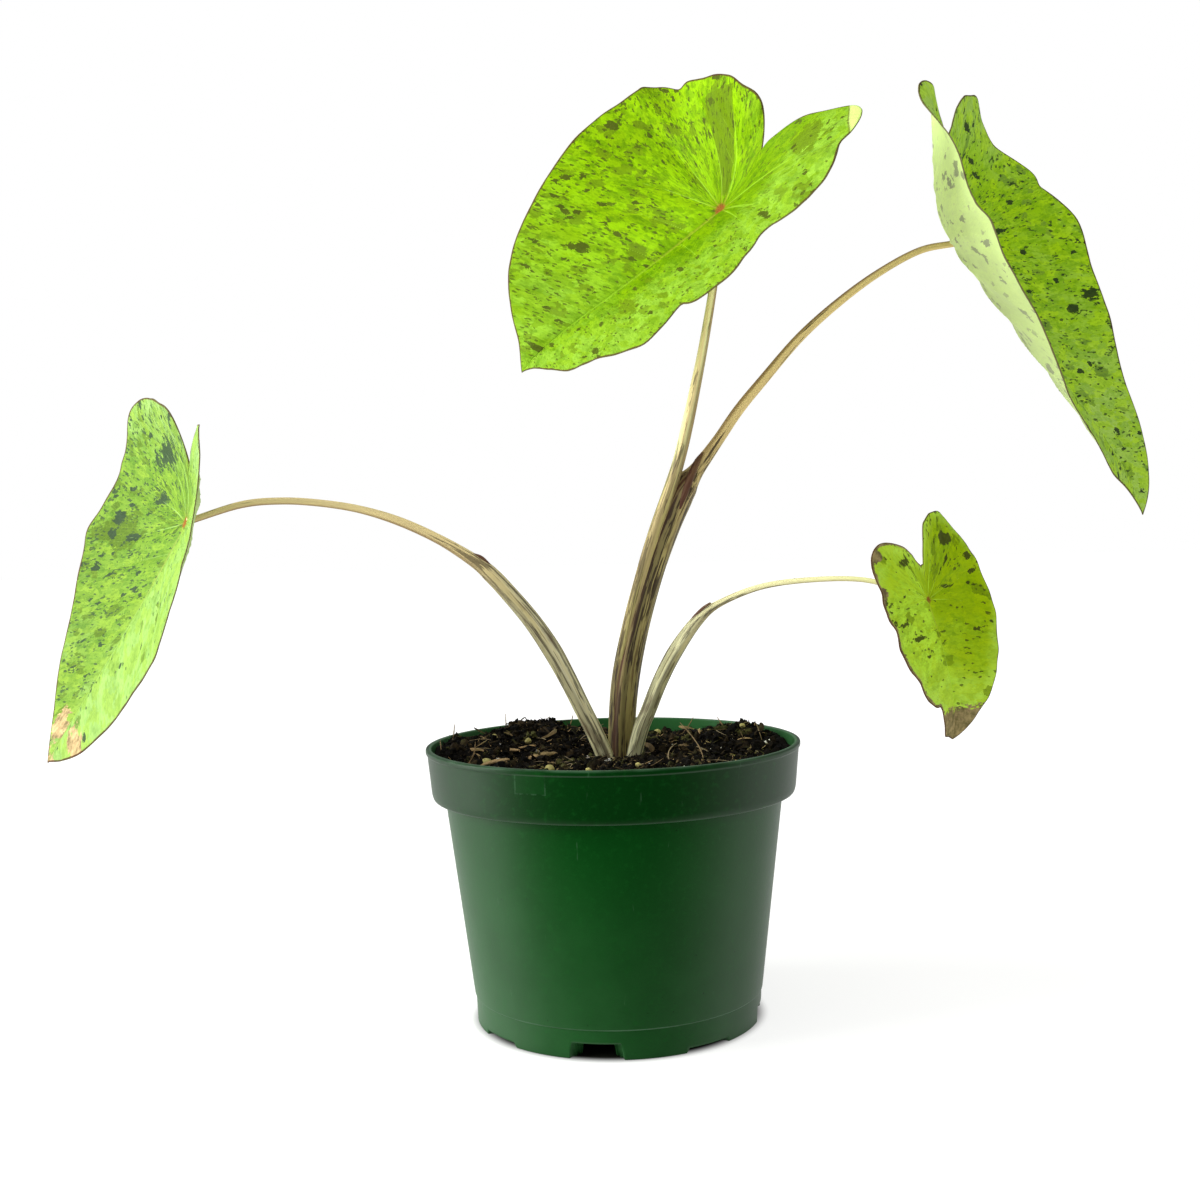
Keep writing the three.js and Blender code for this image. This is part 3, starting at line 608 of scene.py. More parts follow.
def blade_form(blade, u, v):
    """Where a point of the flat blade lies in space, for u towards the tip and v to the left.

    The midrib is an arc that tightens past the middle. Round the joint the lobes bend up, by an
    angle that eases in over a zone and is summed along it in short steps. Each half is an arc
    across the midrib that starts at its fold angle, the section twists along the midrib, and a
    sweep moves the tip sideways. The corners named in curled are rolled first, about a line
    across the flat blade.
    """
    length = blade["length"] * MM
    u, v, lifted = roll_corners(blade, u, v)
    along, across = u / length, np.abs(v) / length
    left = v >= 0

    def pick(pair):
        return np.where(left, pair[0], pair[1])

    lift_left, lift_right = np.radians(blade["lobe_lift"])
    leaning = np.tanh(v / (SIDE_BLEND * length))
    lift = (lift_left + lift_right) / 2 + (lift_left - lift_right) / 2 * leaning
    ahead = np.maximum(along, 0)
    curve = blade["rib_curve"] + blade["tip_curve"] * np.maximum(along - 0.5, 0) ** 2
    curve = np.where(np.abs(curve) < 1e-4, 1e-4, curve)
    x = length * np.sin(curve * ahead) / curve
    z = -length * (1 - np.cos(curve * ahead)) / curve

    def bend(where):
        t = np.clip((BEND_FROM - where) / (BEND_FROM - BEND_TO), 0, 1)
        return lift * t * t * (3 - 2 * t)

    shares = (np.arange(BEND_STEPS) + 0.5) / BEND_STEPS
    x = x + u * (sum(np.cos(bend(along * share)) for share in shares) / BEND_STEPS) - length * ahead
    z = z - u * sum(np.sin(bend(along * share)) for share in shares) / BEND_STEPS
    angle = curve * ahead + bend(along)
    behind = np.maximum(-along / 0.5, 0) ** 1.5
    fold = pick(blade["fold"]) + pick(blade["lobe_fold"]) * behind + pick(blade["tip_fold"]) * ahead
    fold = np.radians(fold)
    curl = pick(blade["curl"])
    curl = np.where(np.abs(curl) < 1e-3, 1e-3, curl)
    out = length * (np.sin(fold + curl * across) - np.sin(fold)) / curl * np.sign(v)
    up = length * (np.cos(fold) - np.cos(fold + curl * across)) / curl + lifted
    twist = np.radians(np.where(along < 0, blade["lobe_twist"], blade["tip_twist"])) * along
    y = out * np.cos(twist) - up * np.sin(twist) + blade["sweep"] * u * np.abs(along)
    rise = out * np.sin(twist) + up * np.cos(twist)
    local = np.stack([x + rise * np.sin(angle), y, z + rise * np.cos(angle)], -1)
    return local @ blade_turn(blade).T + np.array(blade["joint"]) * MM


def blade_turn(blade):
    """Heading about the vertical, lean and roll, then from lying flat to facing the front."""
    heading, lean, roll = (math.radians(angle) for angle in blade["turn"])
    upright = Matrix(((1, 0, 0), (0, 0, -1), (0, 1, 0)))
    turn = Matrix.Rotation(heading, 3, "Z") @ Matrix.Rotation(lean, 3, "Y")
    return np.array(upright @ (turn @ Matrix.Rotation(roll, 3, "X")))


def roll_corners(blade, u, v):
    """Rolls each curled corner: past a line, the way outwards follows a circle up or down."""
    lifted = np.zeros_like(u)
    for place_u, place_v, angle, radius, side in blade["curled"]:
        direction = np.radians(angle if place_v < 0 else 360 - angle)
        outward = np.array([np.cos(direction), np.sin(direction)])
        length = blade["length"] * MM
        past = np.maximum((u - place_u * length) * outward[0] + (v - place_v * length) * outward[1], 0)
        turned = past / (radius * MM)
        shift = radius * MM * np.sin(turned) - past
        u, v = u + shift * outward[0], v + shift * outward[1]
        lifted = lifted + side * radius * MM * (1 - np.cos(turned))
    return u, v, lifted


def rolled_tongue(blade, u, v):
    """1 on the left lobe's tip where it is rolled over: past a line across one way, in lengths."""
    if not blade["tongue"]:
        return np.zeros(len(u))
    way, reach = math.radians(blade["tongue"][0]), blade["tongue"][1]
    return np.clip((u * math.cos(way) + v * math.sin(way) - reach) / 0.012, 0, 1) * (v > 0)


def vein_paths(blade, margin_at):
    """The main veins as rows of flat points, each with its half width at its start in metres.

    The midrib is straight. Side veins leave it at even steps and bend towards the tip; others
    fan out from the joint, and one on each side runs down the middle of its lobe and branches.
    """
    length = blade["length"] * MM
    wide = length / STANDARD_LENGTH
    share = np.linspace(0, 1, 26)
    paths = [(np.stack([share * length, share * 0], -1), wide)]
    for side, slope in ((1, blade["vein_slope"][0]), (-1, blade["vein_slope"][1])):
        first = math.degrees(math.atan2(1, slope))
        for k, start in enumerate(VEIN_STARTS):
            start = (start + 0.03 * side) * length
            reach = np.linspace(0, 0.62 * length, 60)
            u = start + slope * reach + 0.35 * reach**2 / length
            inside = np.hypot(u, reach) < 0.95 * margin_at(np.arctan2(side * reach, u))
            paths.append((np.stack([u, side * reach], -1)[inside], (0.5 - 0.06 * k) * wide))
        lobe = 152 if side > 0 else 155
        for angle in (first, (first * 1.4 + lobe * 0.6) / 2, lobe - 28, lobe):
            edge = margin_at(math.radians(side * angle)) * 0.95
            bent = np.radians(side * (angle - 9 * share**1.5))
            path = np.stack([np.cos(bent), np.sin(bent)], -1) * (edge * share)[:, None]
            paths.append((path, (0.8 if angle == lobe else 0.5) * wide))
            if angle == lobe:
                paths.extend(lobe_branches(path, side, margin_at))
    return paths


def lobe_branches(path, side, margin_at):
    """Short veins that leave a lobe's own rib on both sides and bend outwards."""
    branches = []
    for start, turn in ((9, 42), (14, 38), (11, -48), (17, -40)):
        heading = math.atan2(*(path[start + 1] - path[start])[::-1]) - side * math.radians(turn)
        reach = np.linspace(0, 0.45, 30)[:, None] * np.linalg.norm(path[-1])
        row = path[start] + reach * np.array([math.cos(heading), math.sin(heading)])
        inside = np.hypot(*row.T) < 0.94 * margin_at(np.arctan2(row[:, 1], row[:, 0]))
        branches.append((row[inside], 0.32 * np.linalg.norm(path[-1]) / 65))
    return branches


def vein_distance(points, paths):
    """For flat points: the distance to the nearest vein, and that in half widths of the vein."""
    nearest = np.full(len(points), 1.0)
    relative = np.full(len(points), 100.0)
    for path, half_width in paths:
        if len(path) < 2:
            continue
        lengths = np.linalg.norm(np.diff(path, axis=0), axis=1)
        total = lengths.sum()
        for k, (start, end) in enumerate(zip(path[:-1], path[1:])):
            way = end - start
            share = np.clip((points - start) @ way / max(way @ way, 1e-12), 0, 1)
            distance = np.hypot(*(points - start - share[:, None] * way).T)
            gone = (lengths[:k].sum() + share * lengths[k]) / total
            nearest = np.minimum(nearest, distance)
            relative = np.minimum(relative, distance / (half_width * (1 - 0.75 * gone)))
    return nearest, relative


def spots_field(blade, points, spots):
    """How deep a flat point lies in the nearest elongated spot: 1 in its middle, 0 at its edge.

    A spot is a place, a half length along the side veins and a half width, all in blade lengths.
    """
    field = np.full(len(points), -1.0)
    for place_u, place_v, half_length, half_width in spots:
        slope, side = (blade["vein_slope"][0], 1) if place_v >= 0 else (blade["vein_slope"][1], -1)
        way = np.array([slope, side]) / math.hypot(slope, 1)
        offset = points / (blade["length"] * MM) - (place_u, place_v)
        lengthwise = offset @ way / half_length
        crosswise = (offset[:, 0] * -way[1] + offset[:, 1] * way[0]) / half_width
        field = np.maximum(field, 1 - np.hypot(lengthwise, crosswise))
    return field


def grain_of(blade, points):
    """Coordinates that follow the side veins: along them, and across them, in metres."""
    length = blade["length"] * MM
    u, v = points.T
    slope = np.where(v >= 0, blade["vein_slope"][0], blade["vein_slope"][1])
    root = u - slope * np.abs(v)
    fan = np.arctan2(np.abs(v), u) - np.arctan2(1, slope)
    across = np.where(root > 0, root, -0.45 * length * fan) + np.where(v >= 0, 0, 1.7 * length)
    along = np.hypot(np.abs(v), u - np.maximum(root, 0))
    return along, across


def wedge_field(blade, u, v):
    """How deep a place lies between the wedge's two angles, near the joint: above 0 inside it."""
    if not blade["wedge"]:
        return np.full(len(u), -1.0)
    angle, size = np.degrees(np.arctan2(-v, u)), np.hypot(u, v)
    first, last = blade["wedge"]
    beyond = np.minimum((size - 0.05) / 0.1, (0.44 - size) / 0.05)
    return 4 * np.minimum(1 - np.abs(angle - (first + last) / 2) / ((last - first) / 2), beyond)


def scorch_field(blade, v, edge):
    """How deep a place lies in the dried line along the right margin: above 0 inside it."""
    if not blade["scorch"]:
        return np.full(len(v), -1.0)
    return np.where(v < 0, 1 - edge / MM / blade["scorch"], -1)


def blade_fields(blade, points, reach, edge):
    """The attributes that a blade's materials read, for flat points.

    Paleness, frost with its painted sheen and the number of flecks are sums of ramps towards the
    tip, the lobes, one half and the margin, each times the blade's own share. The heart is the
    distance from the joint in 110ths of the length.
    """
    length = blade["length"] * MM
    u, v = points.T / length
    along, across = grain_of(blade, points)
    base, by_side, by_tip = blade["paleness"]
    frost_tip, frost_lobes, frost_and_sheen_side, frost_rim = blade["frost_and_sheen"]
    frost_and_sheen = frost_tip * np.clip((u - 0.2) / 0.5, 0, 1) + frost_lobes * np.clip((-u - 0.05) / 0.35, 0, 1)
    # painted sheen: more frost on one half of the blade
    frost_and_sheen = frost_and_sheen + frost_and_sheen_side * np.clip((v - 0.1) / 0.2, 0, 1)
    frost_and_sheen = frost_and_sheen + frost_rim * np.clip(1 - edge / (7 * MM), 0, 1)
    side = np.tanh(v / 0.08)
    fleck_base, fleck_side, fleck_reach, fleck_tip = blade["flecks"]
    dead_tip = (u - 0.25 * v - blade["dead_tip"]) * 12
    dead = [spots_field(blade, points, blade["dead"]), dead_tip, scorch_field(blade, v, edge)]
    stains = spots_field(blade, points, blade["stains"])
    return {
        "grain": np.stack([along, across, 0 * along], -1),
        "edge": edge / MM / min(length / (STANDARD_LENGTH * MM), 1),
        "patch": spots_field(blade, points, blade["patches"]),
        "stain": np.maximum(stains, wedge_field(blade, u, v)),
        "dead": np.max(dead, axis=0),
        "pale": np.clip(base + by_side * side + by_tip * u, 0, 1),
        "fleck": np.clip(fleck_base + fleck_side * side + fleck_reach * reach + fleck_tip * u, 0, 1),
        "heart": np.hypot(u, v) * 110,
        "side": v,
        "tip": u,
        "frost_and_sheen": np.clip(frost_and_sheen, 0, 1),
        "tongue": rolled_tongue(blade, u, v),
    }


def make_blade(blade, thickness, quilt, wave_height, detail):
    """A blade as two faces a thin way apart, with sunk veins above and raised ones beneath.

    The flat blade is covered by rings round the joint, from 0 to the margin. Each ring point is
    carried to its place in space, and the two faces stand off it along its normal. The normal
    comes from small steps in u and v. Between the veins the blade bulges up, and its margin
    waves as a sine of the angle round the joint.
    """
    margin, angles = outline_radius(blade, detail[0])
    margin_size = np.hypot(*margin.T)
    order = np.argsort(angles)

    def margin_at(angle):
        return np.interp(angle, angles[order], margin_size[order], period=2 * np.pi)

    reach = np.append(np.linspace(0, 1, detail[1] + 1)[1:-1] ** 0.92, (0.99, 1.0))
    flat = reach[:, None, None] * margin[None]
    u, v = flat[..., 0], flat[..., 1]
    points = flat.reshape(-1, 2)
    nearest, relative = vein_distance(points, vein_paths(blade, margin_at))
    nearest, relative = nearest.reshape(u.shape), relative.reshape(u.shape)
    turn = np.arctan2(v, u)
    step = 0.05 * MM
    along = blade_form(blade, u + step, v) - blade_form(blade, u - step, v)
    aside = blade_form(blade, u, v + step) - blade_form(blade, u, v - step)
    normal = np.cross(along, aside)
    normal /= np.linalg.norm(normal, axis=-1, keepdims=True)
    r = reach[:, None]
    fade = np.clip((1 - r) * 8, 0, 1)
    ripple = layered_noise(np.stack([np.cos(turn) * 5, np.sin(turn) * 5, r * 2 + 0 * turn], -1), 11, 3)
    lift = wave_height * r**4 * (np.sin(WAVES * turn) + 0.9 * ripple)
    lift += quilt * (1 - np.exp(-((nearest / (4 * MM)) ** 2))) * fade - quilt * 0.5
    upper_sink = VEIN_SINK * np.exp(-(relative**2))
    ridge = VEIN_RIDGE * np.exp(-((relative / 1.1) ** 2)) * np.clip(1.15 - r, 0, 1)
    rib = MIDRIB_RIDGE * np.clip(1 - np.hypot(u, v) / (blade["length"] * MM), 0, 1)
    rib = rib * np.exp(-((v / (1.1 * MM)) ** 2)) * (u > -2 * MM)
    half = (thickness * (1 - 0.55 * r)) / 2
    middle = blade_form(blade, u, v) + normal * lift[..., None]
    upper = middle + normal * (half - upper_sink)[..., None]
    under = middle - normal * (half + np.maximum(ridge, rib))[..., None]
    centre = np.zeros(1)
    joint = blade_form(blade, centre, centre)[0]
    axis = normal[0].mean(0) / np.linalg.norm(normal[0].mean(0))
    top = joint + axis * (thickness / 2 - quilt * 0.5)
    bottom = joint - axis * (thickness / 2 + MIDRIB_RIDGE + 0.1 * MM)
    skin, faces = closed_skin(top, np.concatenate([upper, under[::-1]]), bottom)
    edge = ((1 - reach)[:, None] * margin_size[None]).ravel()
    fields = blade_fields(blade, points, np.repeat(reach, len(margin)), edge)
    fields["vein"] = relative.ravel()
    count = len(margin)
    both = {}
    for field, values in fields.items():
        grid = values.reshape(len(reach), count, -1)
        whole = np.concatenate([grid, grid[::-1]]).reshape(-1, grid.shape[-1])
        pole = grid[:1].mean(axis=1)
        both[field] = np.concatenate([pole, whole, pole]).squeeze()
    rows = np.repeat(np.arange(2 * len(reach) - 1), count)
    is_under = np.concatenate([rows >= len(reach) - 1, np.zeros(count, bool), np.ones(count, bool)])
    return skin, faces, both, is_under


def leaf_patterns(g, seed):
    """The patterns that a leaf's colours share: cells in three sizes, clouds and clumps.

    All follow the grain, and the cells are drawn out along it. Each cell has three random values.
    """
    grain = g.scaled(g.attribute("grain", "Vector"), (1, 1, 1), (0.31 * seed, 0.17 * seed, 0))
    tiny = g.picks(g.shaken(g.scaled(grain, (0.45, 1, 1)), 1600, 0.0009), 1300)
    small = g.picks(g.shaken(g.scaled(grain, (0.5, 1, 1)), 800, 0.002), 600)
    large = g.picks(g.shaken(g.scaled(grain, (0.55, 1, 1)), 500, 0.004), 290)
    return grain, tiny, small, large, g.noise(grain, 45, 3), g.noise(grain, 120, 3, 0.6)


def living_skin(g, look, patterns):
    """Lime with bloom and frost, the frost partly painted sheen, and lighter and deeper blocks where it
    is thin.
    """
    grain, tiny, small, large, cloud, clump = patterns
    fresh, bloom = LEAF_LOOKS[look][:2]
    streaky = g.noise(g.scaled(grain, (0.2, 1, 1)), 420, 4, 0.65)
    pale = g.attribute("pale")
    color = g.mix(g.step(pale + (cloud - 0.5) * 0.9, 0.1, 0.9), fresh, bloom)
    # frost: a paler bloom, partly painted sheen
    frost_and_sheen = g.step(g.attribute("frost_and_sheen") + (cloud - 0.5) * 0.9, 0.1, 0.9)
    color = g.mix(frost_and_sheen * 0.85, color, toned(bloom, 0.9, 0.036))
    light = tuple(c * f for c, f in zip(fresh, (1.5, 1.3, 1.1)))
    deep = tuple(c * f for c, f in zip(fresh, (0.42, 0.56, 0.5)))
    calm = 0.6 if look == "olive" else 1.0
    color = g.mix(g.step(large[0], 0.55, 0.57) * 0.5 * calm, color, light)
    rich = (1 - pale * (0.6 if look == "pale" else 0.2)) * (1 - frost_and_sheen * 0.45) * calm
    crowded = small[2] + (clump - 0.5) * 0.9 + (cloud - 0.5) * 0.9
    color = g.mix(g.step(crowded, 0.78, 0.82) * 0.5 * rich, color, deep)
    color = g.mix(g.step(large[2] + (cloud - 0.5) * 1.5, 0.72, 0.76) * 0.42 * rich, color, deep)
    color = g.mix(g.step(tiny[2], 0.76, 0.8) * 0.42 * rich, color, deep)
    return g.mix(g.step(streaky, 0.4, 0.75) * 0.45 * rich, color, deep), light


def leaf_material(name, look, seed, under):
    """Leaf skin: lime with a pale bloom, veins, stains, flecks along the veins and a dark margin."""
    bloom, stain_color, fleck_color, dead_color, below = LEAF_LOOKS[look][1:]
    g = Graph(name)
    patterns = leaf_patterns(g, seed)
    grain, tiny, small, large, cloud, clump = patterns
    color, light = living_skin(g, look, patterns)
    vein, edge, heart = g.attribute("vein"), g.attribute("edge"), g.attribute("heart")

    # Stains, and a fine net between the veins
    ragged = (small[1] - 0.5) * 0.8 + (tiny[1] - 0.5) * 0.5
    stain = g.step(g.attribute("stain") + ragged * 0.5 + (clump - 0.5) * 1.2, 0.08, 0.2)
    amount = g.attribute("fleck")
    blocks = g.step(large[1] - amount * (clump - 0.3) * 0.55, 0.02, 0.0)
    color = g.mix(stain.most(blocks * 0.8) * 0.85, color, stain_color)
    net = g.cells(g.scaled(grain, (0.6, 1, 1)), 560, 1.0, "DISTANCE_TO_EDGE")
    color = g.mix((1 - g.step(net, 0.0, 0.1)) * 0.15, color, light)
    wave = g.add("ShaderNodeTexWave", {"bands_direction": "Y"}, Vector=grain, Scale=95.0,
                 Distortion=2.0, Detail=2.0)
    color = g.mix(g.step(wave, 0.86, 1.0) * 0.12, color, light)

    # Flecks
    crowd = amount * g.step(clump, 0.36, 0.68)
    tiny_fleck = g.step(tiny[0] - crowd * 0.2 - amount * 0.02, 0.006, 0.0)
    small_fleck = g.step(small[0] - crowd * 0.06, 0.004, 0.0)
    patch = g.step(g.attribute("patch") + ragged * 0.75 + (clump - 0.5) * 0.6, 0.1, 0.2)
    dark = (tiny_fleck * 0.85).most(small_fleck).most(patch)
    fleck_shade = g.mix(g.noise(grain, 300, 2), fleck_color, toned(fleck_color, 2.2))
    color = g.mix(dark * 0.94, color, fleck_shade)

    # Veins, rusty near the joint and along the midrib
    vein_line = 1 - g.step(vein, 0.35, 1.0)
    midrib = g.step(heart, 55.0, 20.0) * g.step(abs(g.attribute("side")), 0.02, 0.01)
    rust = g.step(heart, 10.0, 2.0).most(midrib * 0.8)
    vein_color = g.mix(rust * 0.8, toned(bloom, 1.3, 0.04), RUST_COLOR)
    color = g.mix(vein_line * (0.22 + g.step(heart, 60.0, 5.0) * 0.18), color, vein_color)
    color = g.mix(g.step(heart + (cloud - 0.5) * 2.0, 3.2, 1.6) * 0.9, color, JOINT_COLOR)

    # Dead tissue and the margin
    dead = g.step(g.attribute("dead") + ragged * 0.6 + (clump - 0.5) * 0.8, 0.05, 0.2)
    mottled = g.step(g.noise(grain, 260, 4, 0.7), 0.3, 0.7)
    tan = g.mix(mottled, toned(dead_color, 0.28), dead_color)
    color = g.mix(dead * 0.95, color, tan)
    rim = g.step(edge + (g.noise(grain, 150, 2) - 0.5) * 1.1, 0.85, 0.5)
    color = g.mix(rim * 0.88, color, RIM_AND_FOLD_SHADE_COLOR)
    # the rolled-over tip in the underside's colour, with a thin dark line of painted shade along its fold
    tongue = g.attribute("tongue")
    turned_over = g.mix(g.step(tongue, 0.5, 1.0), RIM_AND_FOLD_SHADE_COLOR, below)
    color = g.mix(g.step(tongue, 0.1, 0.9), color, turned_over)
    if under:
        blotch = g.step(large[2] - amount * (clump - 0.25) * 0.5, 0.06, 0.0).most(patch)
        # painted shade: the underside darker ahead of the joint, towards the tip
        tip = g.attribute("tip") + (cloud - 0.5) * 0.5
        color = g.mix(g.step(tip, -0.15, 0.25) * 0.5, g.mix(0.25, below, color), toned(below, 0.4))
        color = g.mix(blotch.most(small_fleck * 0.6) * 0.75, color, (0.2, 0.21, 0.14))
        color = g.mix(vein_line * 0.5, color, toned(below, 1.15, limit=1))
        color = g.mix(rim * 0.8, g.mix(dead, color, tan), RIM_AND_FOLD_SHADE_COLOR)
    height = g.noise(grain, 520, 3) * 0.35 + g.step(net, 0.0, 0.2) * 0.4 - vein_line * 0.4
    rough = 0.42 + g.noise(grain, 130, 3) * 0.16 + dead * 0.3
    return g.finish(Base_Color=color, Roughness=rough, Normal=g.bump(height, 0.00025, 0.5),
                    Specular_IOR_Level=0.03)


# Stems


def swept_tube(route, sides, count, sheath_end, sheath_angle):
    """A tube along a curve, round above its sheath and wrapped like a scroll below.

    The section's radius grows by a share from the sheath's margin once round to it again, and
    drops back over a few degrees. The step fades out at the sheath's upper end.
    """
    rows = np.array(route, float) * MM
    curve = curve_through(rows[:, :3], count, reflected=True)
    radius = np.interp(np.linspace(0, len(rows) - 1, count), np.arange(len(rows)), rows[:, 3])
    radius = np.convolve(np.pad(radius, 4, mode="edge"), np.ones(9) / 9, mode="valid")
    tangent = np.gradient(curve, axis=0)
    tangent /= np.linalg.norm(tangent, axis=1, keepdims=True)
    across = np.zeros_like(curve)
    way = np.array([1.0, 0, 0])
    for k, line in enumerate(tangent):
        way = way - line * (way @ line)
        way /= np.linalg.norm(way)
        across[k] = way
    beside = np.cross(tangent, across)
    share = np.linspace(0, 1, count)[:, None]
    angle = np.linspace(0, 2 * np.pi, sides, endpoint=False)[None]
    foot_angle, turned = np.radians(sheath_angle)
    round_from_margin = (angle - foot_angle - turned * share / 0.5) % (2 * np.pi)
    step = np.clip((sheath_end - share) / SCROLL_FADE, 0, 1) * SCROLL_STEP
    wrap = np.clip(round_from_margin / math.radians(SCROLL_EDGE), 0, 1)
    size = radius[:, None] * (1 - step / 2 + step * wrap * (1 - round_from_margin / (2 * np.pi)))
    size = size * (1 + 0.025 * np.sin(7 * angle + 3 * share) + 0.015 * np.sin(13 * angle))
    section = across[:, None] * np.cos(angle)[..., None] + beside[:, None] * np.sin(angle)[..., None]
    points = curve[:, None] + section * size[..., None]
    gone = np.concatenate([[0], np.cumsum(np.linalg.norm(np.diff(curve, axis=0), axis=1))])[:, None]
    past = np.minimum(round_from_margin, 2 * np.pi - round_from_margin)
    fields = {
        "skin": np.stack([np.cos(angle) * radius[:, None], np.sin(angle) * radius[:, None],
                          gone + 0 * angle], -1),
        "share": share + 0 * angle,
        "margin": past * radius[:, None] / MM,
        "sheath": np.clip((sheath_end - share) / 0.05 + 0.5, 0, 1) + 0 * angle,
    }
    return curve, points, fields


def make_stem(name, stem, sides, count, material):
    """A stem, with the free end of its sheath as a thin lip that stands off it, dark all over as painted
    shade.
    """
    lengths = [(stem["route"], stem["sheath_end"], count)]
    if stem["flap"]:
        lengths.append((stem["flap"], 1.0, count // 5))
    skin, faces, whole = [], [], {}
    for route, end, rows in lengths:
        curve, rings, fields = swept_tube(route, sides, rows, end, stem["sheath_angle"])
        # painted shade: the sheath's free end takes the dark margin colour all over
        if route is stem["flap"]:
            fields["margin"] = fields["margin"] * 0 + 0.2
        start = sum(len(part) for part in skin)
        points, part_faces = closed_skin(curve[-1], rings[::-1], curve[0])
        skin.append(points)
        faces.extend([[corner + start for corner in face] for face in part_faces])
        for field, values in fields.items():
            grid = values[::-1].reshape(rows, sides, -1)
            ends = grid[:1].mean(1), grid[-1:].mean(1)
            row = np.concatenate([ends[0], grid.reshape(rows * sides, -1), ends[1]])
            whole.setdefault(field, []).append(row)
    fields = {field: np.concatenate(values).squeeze() for field, values in whole.items()}
    return add_piece(name + "_skin", np.concatenate(skin), faces, [material], name, fields)


def stem_material(name, stem, seed):
    """Stem skin: olive tan at the foot to cream at the blade, with dark streaks along it."""
    g = Graph(name)
    foot, middle, top = stem["tones"]
    streaks = stem["streaks"]
    place = g.attribute("skin", "Vector")
    skin = g.scaled(place, (1, 1, 1), (0.13 * seed, 0.07 * seed, 0.4 * seed))
    share, margin, sheath = g.attribute("share"), g.attribute("margin"), g.attribute("sheath")
    drawn = g.scaled(skin, (1, 1, 0.035))
    color = g.ramp(share, ((0.0, foot), (0.4, middle), (0.62, top), (1.0, toned(top, 0.97))))
    high = g.step(share, 0.4, 0.65)

    # Pale and dark mottling
    pale = g.mix(high, toned(foot, 1.5, limit=1), toned(top, 1.25, limit=1))
    color = g.mix(g.step(g.noise(drawn, 480, 2), 0.4, 0.62) * stem["cream"], color, pale)
    dark = g.step(g.noise(drawn, 260, 2), 0.45, 0.6) * (0.6 - high * 0.4)
    color = g.mix(dark, color, toned(foot, 0.3))
    # painted shade, partly the stem's own brown: one side browner near the top
    shaded = g.step(g.parts(place)[0] * stem["shade"], 0.2 * MM, 1.3 * MM)
    color = g.mix(shaded * high * (0.4 + g.noise(drawn, 400, 2) * 0.7), color, (0.2, 0.1, 0.04))

    # Fine lines, broken black lines, flecks and bruises
    fade = g.step(share, 0.95, 0.35)
    fine = g.step(g.noise(drawn, 1300, 3, 0.6) + fade * 0.05 * streaks, 0.56, 0.66)
    color = g.mix(fine * (0.65 - high * 0.5), color, (0.07, 0.03, 0.018))
    line = g.step(g.noise(drawn, 700, 3, 0.6) + fade * 0.1 * (1 + streaks), 0.645, 0.67)
    broken = g.step(g.noise(g.scaled(skin, (1, 1, 0.12)), 700, 3), 0.4, 0.5)
    color = g.mix(line * broken * (0.45 + streaks * 0.55), color, (0.022, 0.01, 0.008))
    fleck = g.step(g.noise(g.scaled(skin, (1, 1, 0.14)), 1300, 3, 0.7), 0.64, 0.69)
    color = g.mix(fleck * (1 - high * 0.8) * 0.35, color, (0.07, 0.04, 0.02))
    bruise = g.step(g.noise(g.scaled(skin, (1, 1, 0.3)), 150, 3, 0.6), 0.55, 0.7) * sheath
    color = g.mix(bruise * 0.55, color, (0.08, 0.035, 0.02))

    # The sheath's margin
    color = g.mix(g.step(margin, 0.75, 0.3) * sheath * 0.9, color, (0.06, 0.015, 0.009))
    color = g.mix(g.step(margin, 2.6, 0.6) * sheath * 0.35, color, (0.16, 0.07, 0.04))
    height = (g.noise(drawn, 900, 2) + line * -0.3) * (1 - high * 0.85)
    rough = 0.5 + g.noise(drawn, 300, 2) * 0.15
    return g.finish(Base_Color=color, Roughness=rough, Normal=g.bump(height, 0.00012, 0.5),
                    Specular_IOR_Level=0.2)


# Pot


def pot_profile():
    """The pot's section as radius and height, from the middle of its underside round to the inside."""
    p = POT
    edge = p["edge"]
    corners = (
        (0, p["floor_bottom"]),
        (p["foot_radius"] - p["foot_width"], p["floor_bottom"]),
        (p["foot_radius"] - p["foot_width"], 0),
        (p["foot_radius"], 0),
        (p["seam_radius"] - p["seam_step"], p["seam_height"]),
        (p["seam_radius"], p["seam_height"] + edge / 2),
        (p["shoulder_radius"], p["band_bottom"]),
        (p["band_radius"] - edge, p["band_bottom"]),
        (p["band_radius"], p["band_bottom"] + 3 * edge),
        (p["lip_radius"] - p["lip_proud"], p["height"] - p["lip_height"]),
        (p["lip_radius"], p["height"] - p["lip_height"] + p["lip_proud"]),
        (p["lip_radius"], p["height"]),
        (p["lip_radius"] - p["lip_width"] - edge / 2, p["height"]),
        (p["band_radius"] - p["wall"], p["band_bottom"] + 2 * p["wall"]),
        (p["shoulder_radius"] - p["wall"], p["band_bottom"] - p["wall"]),
        (p["seam_radius"] - p["wall"], p["floor_top"] + 2 * p["wall"]),
        (p["seam_radius"] - 2 * p["wall"], p["floor_top"]),
        (0, p["floor_top"]),
    )
    fillets = (0, 0.5, 0.5, 0.7, 0.15, 0.15, 0.8, 1.6, 1.6, 0.2, 0.25, 0.8, 0.6, 2, 2, 2, 1, 0)
    return rounded(np.array(corners, float), fillets)


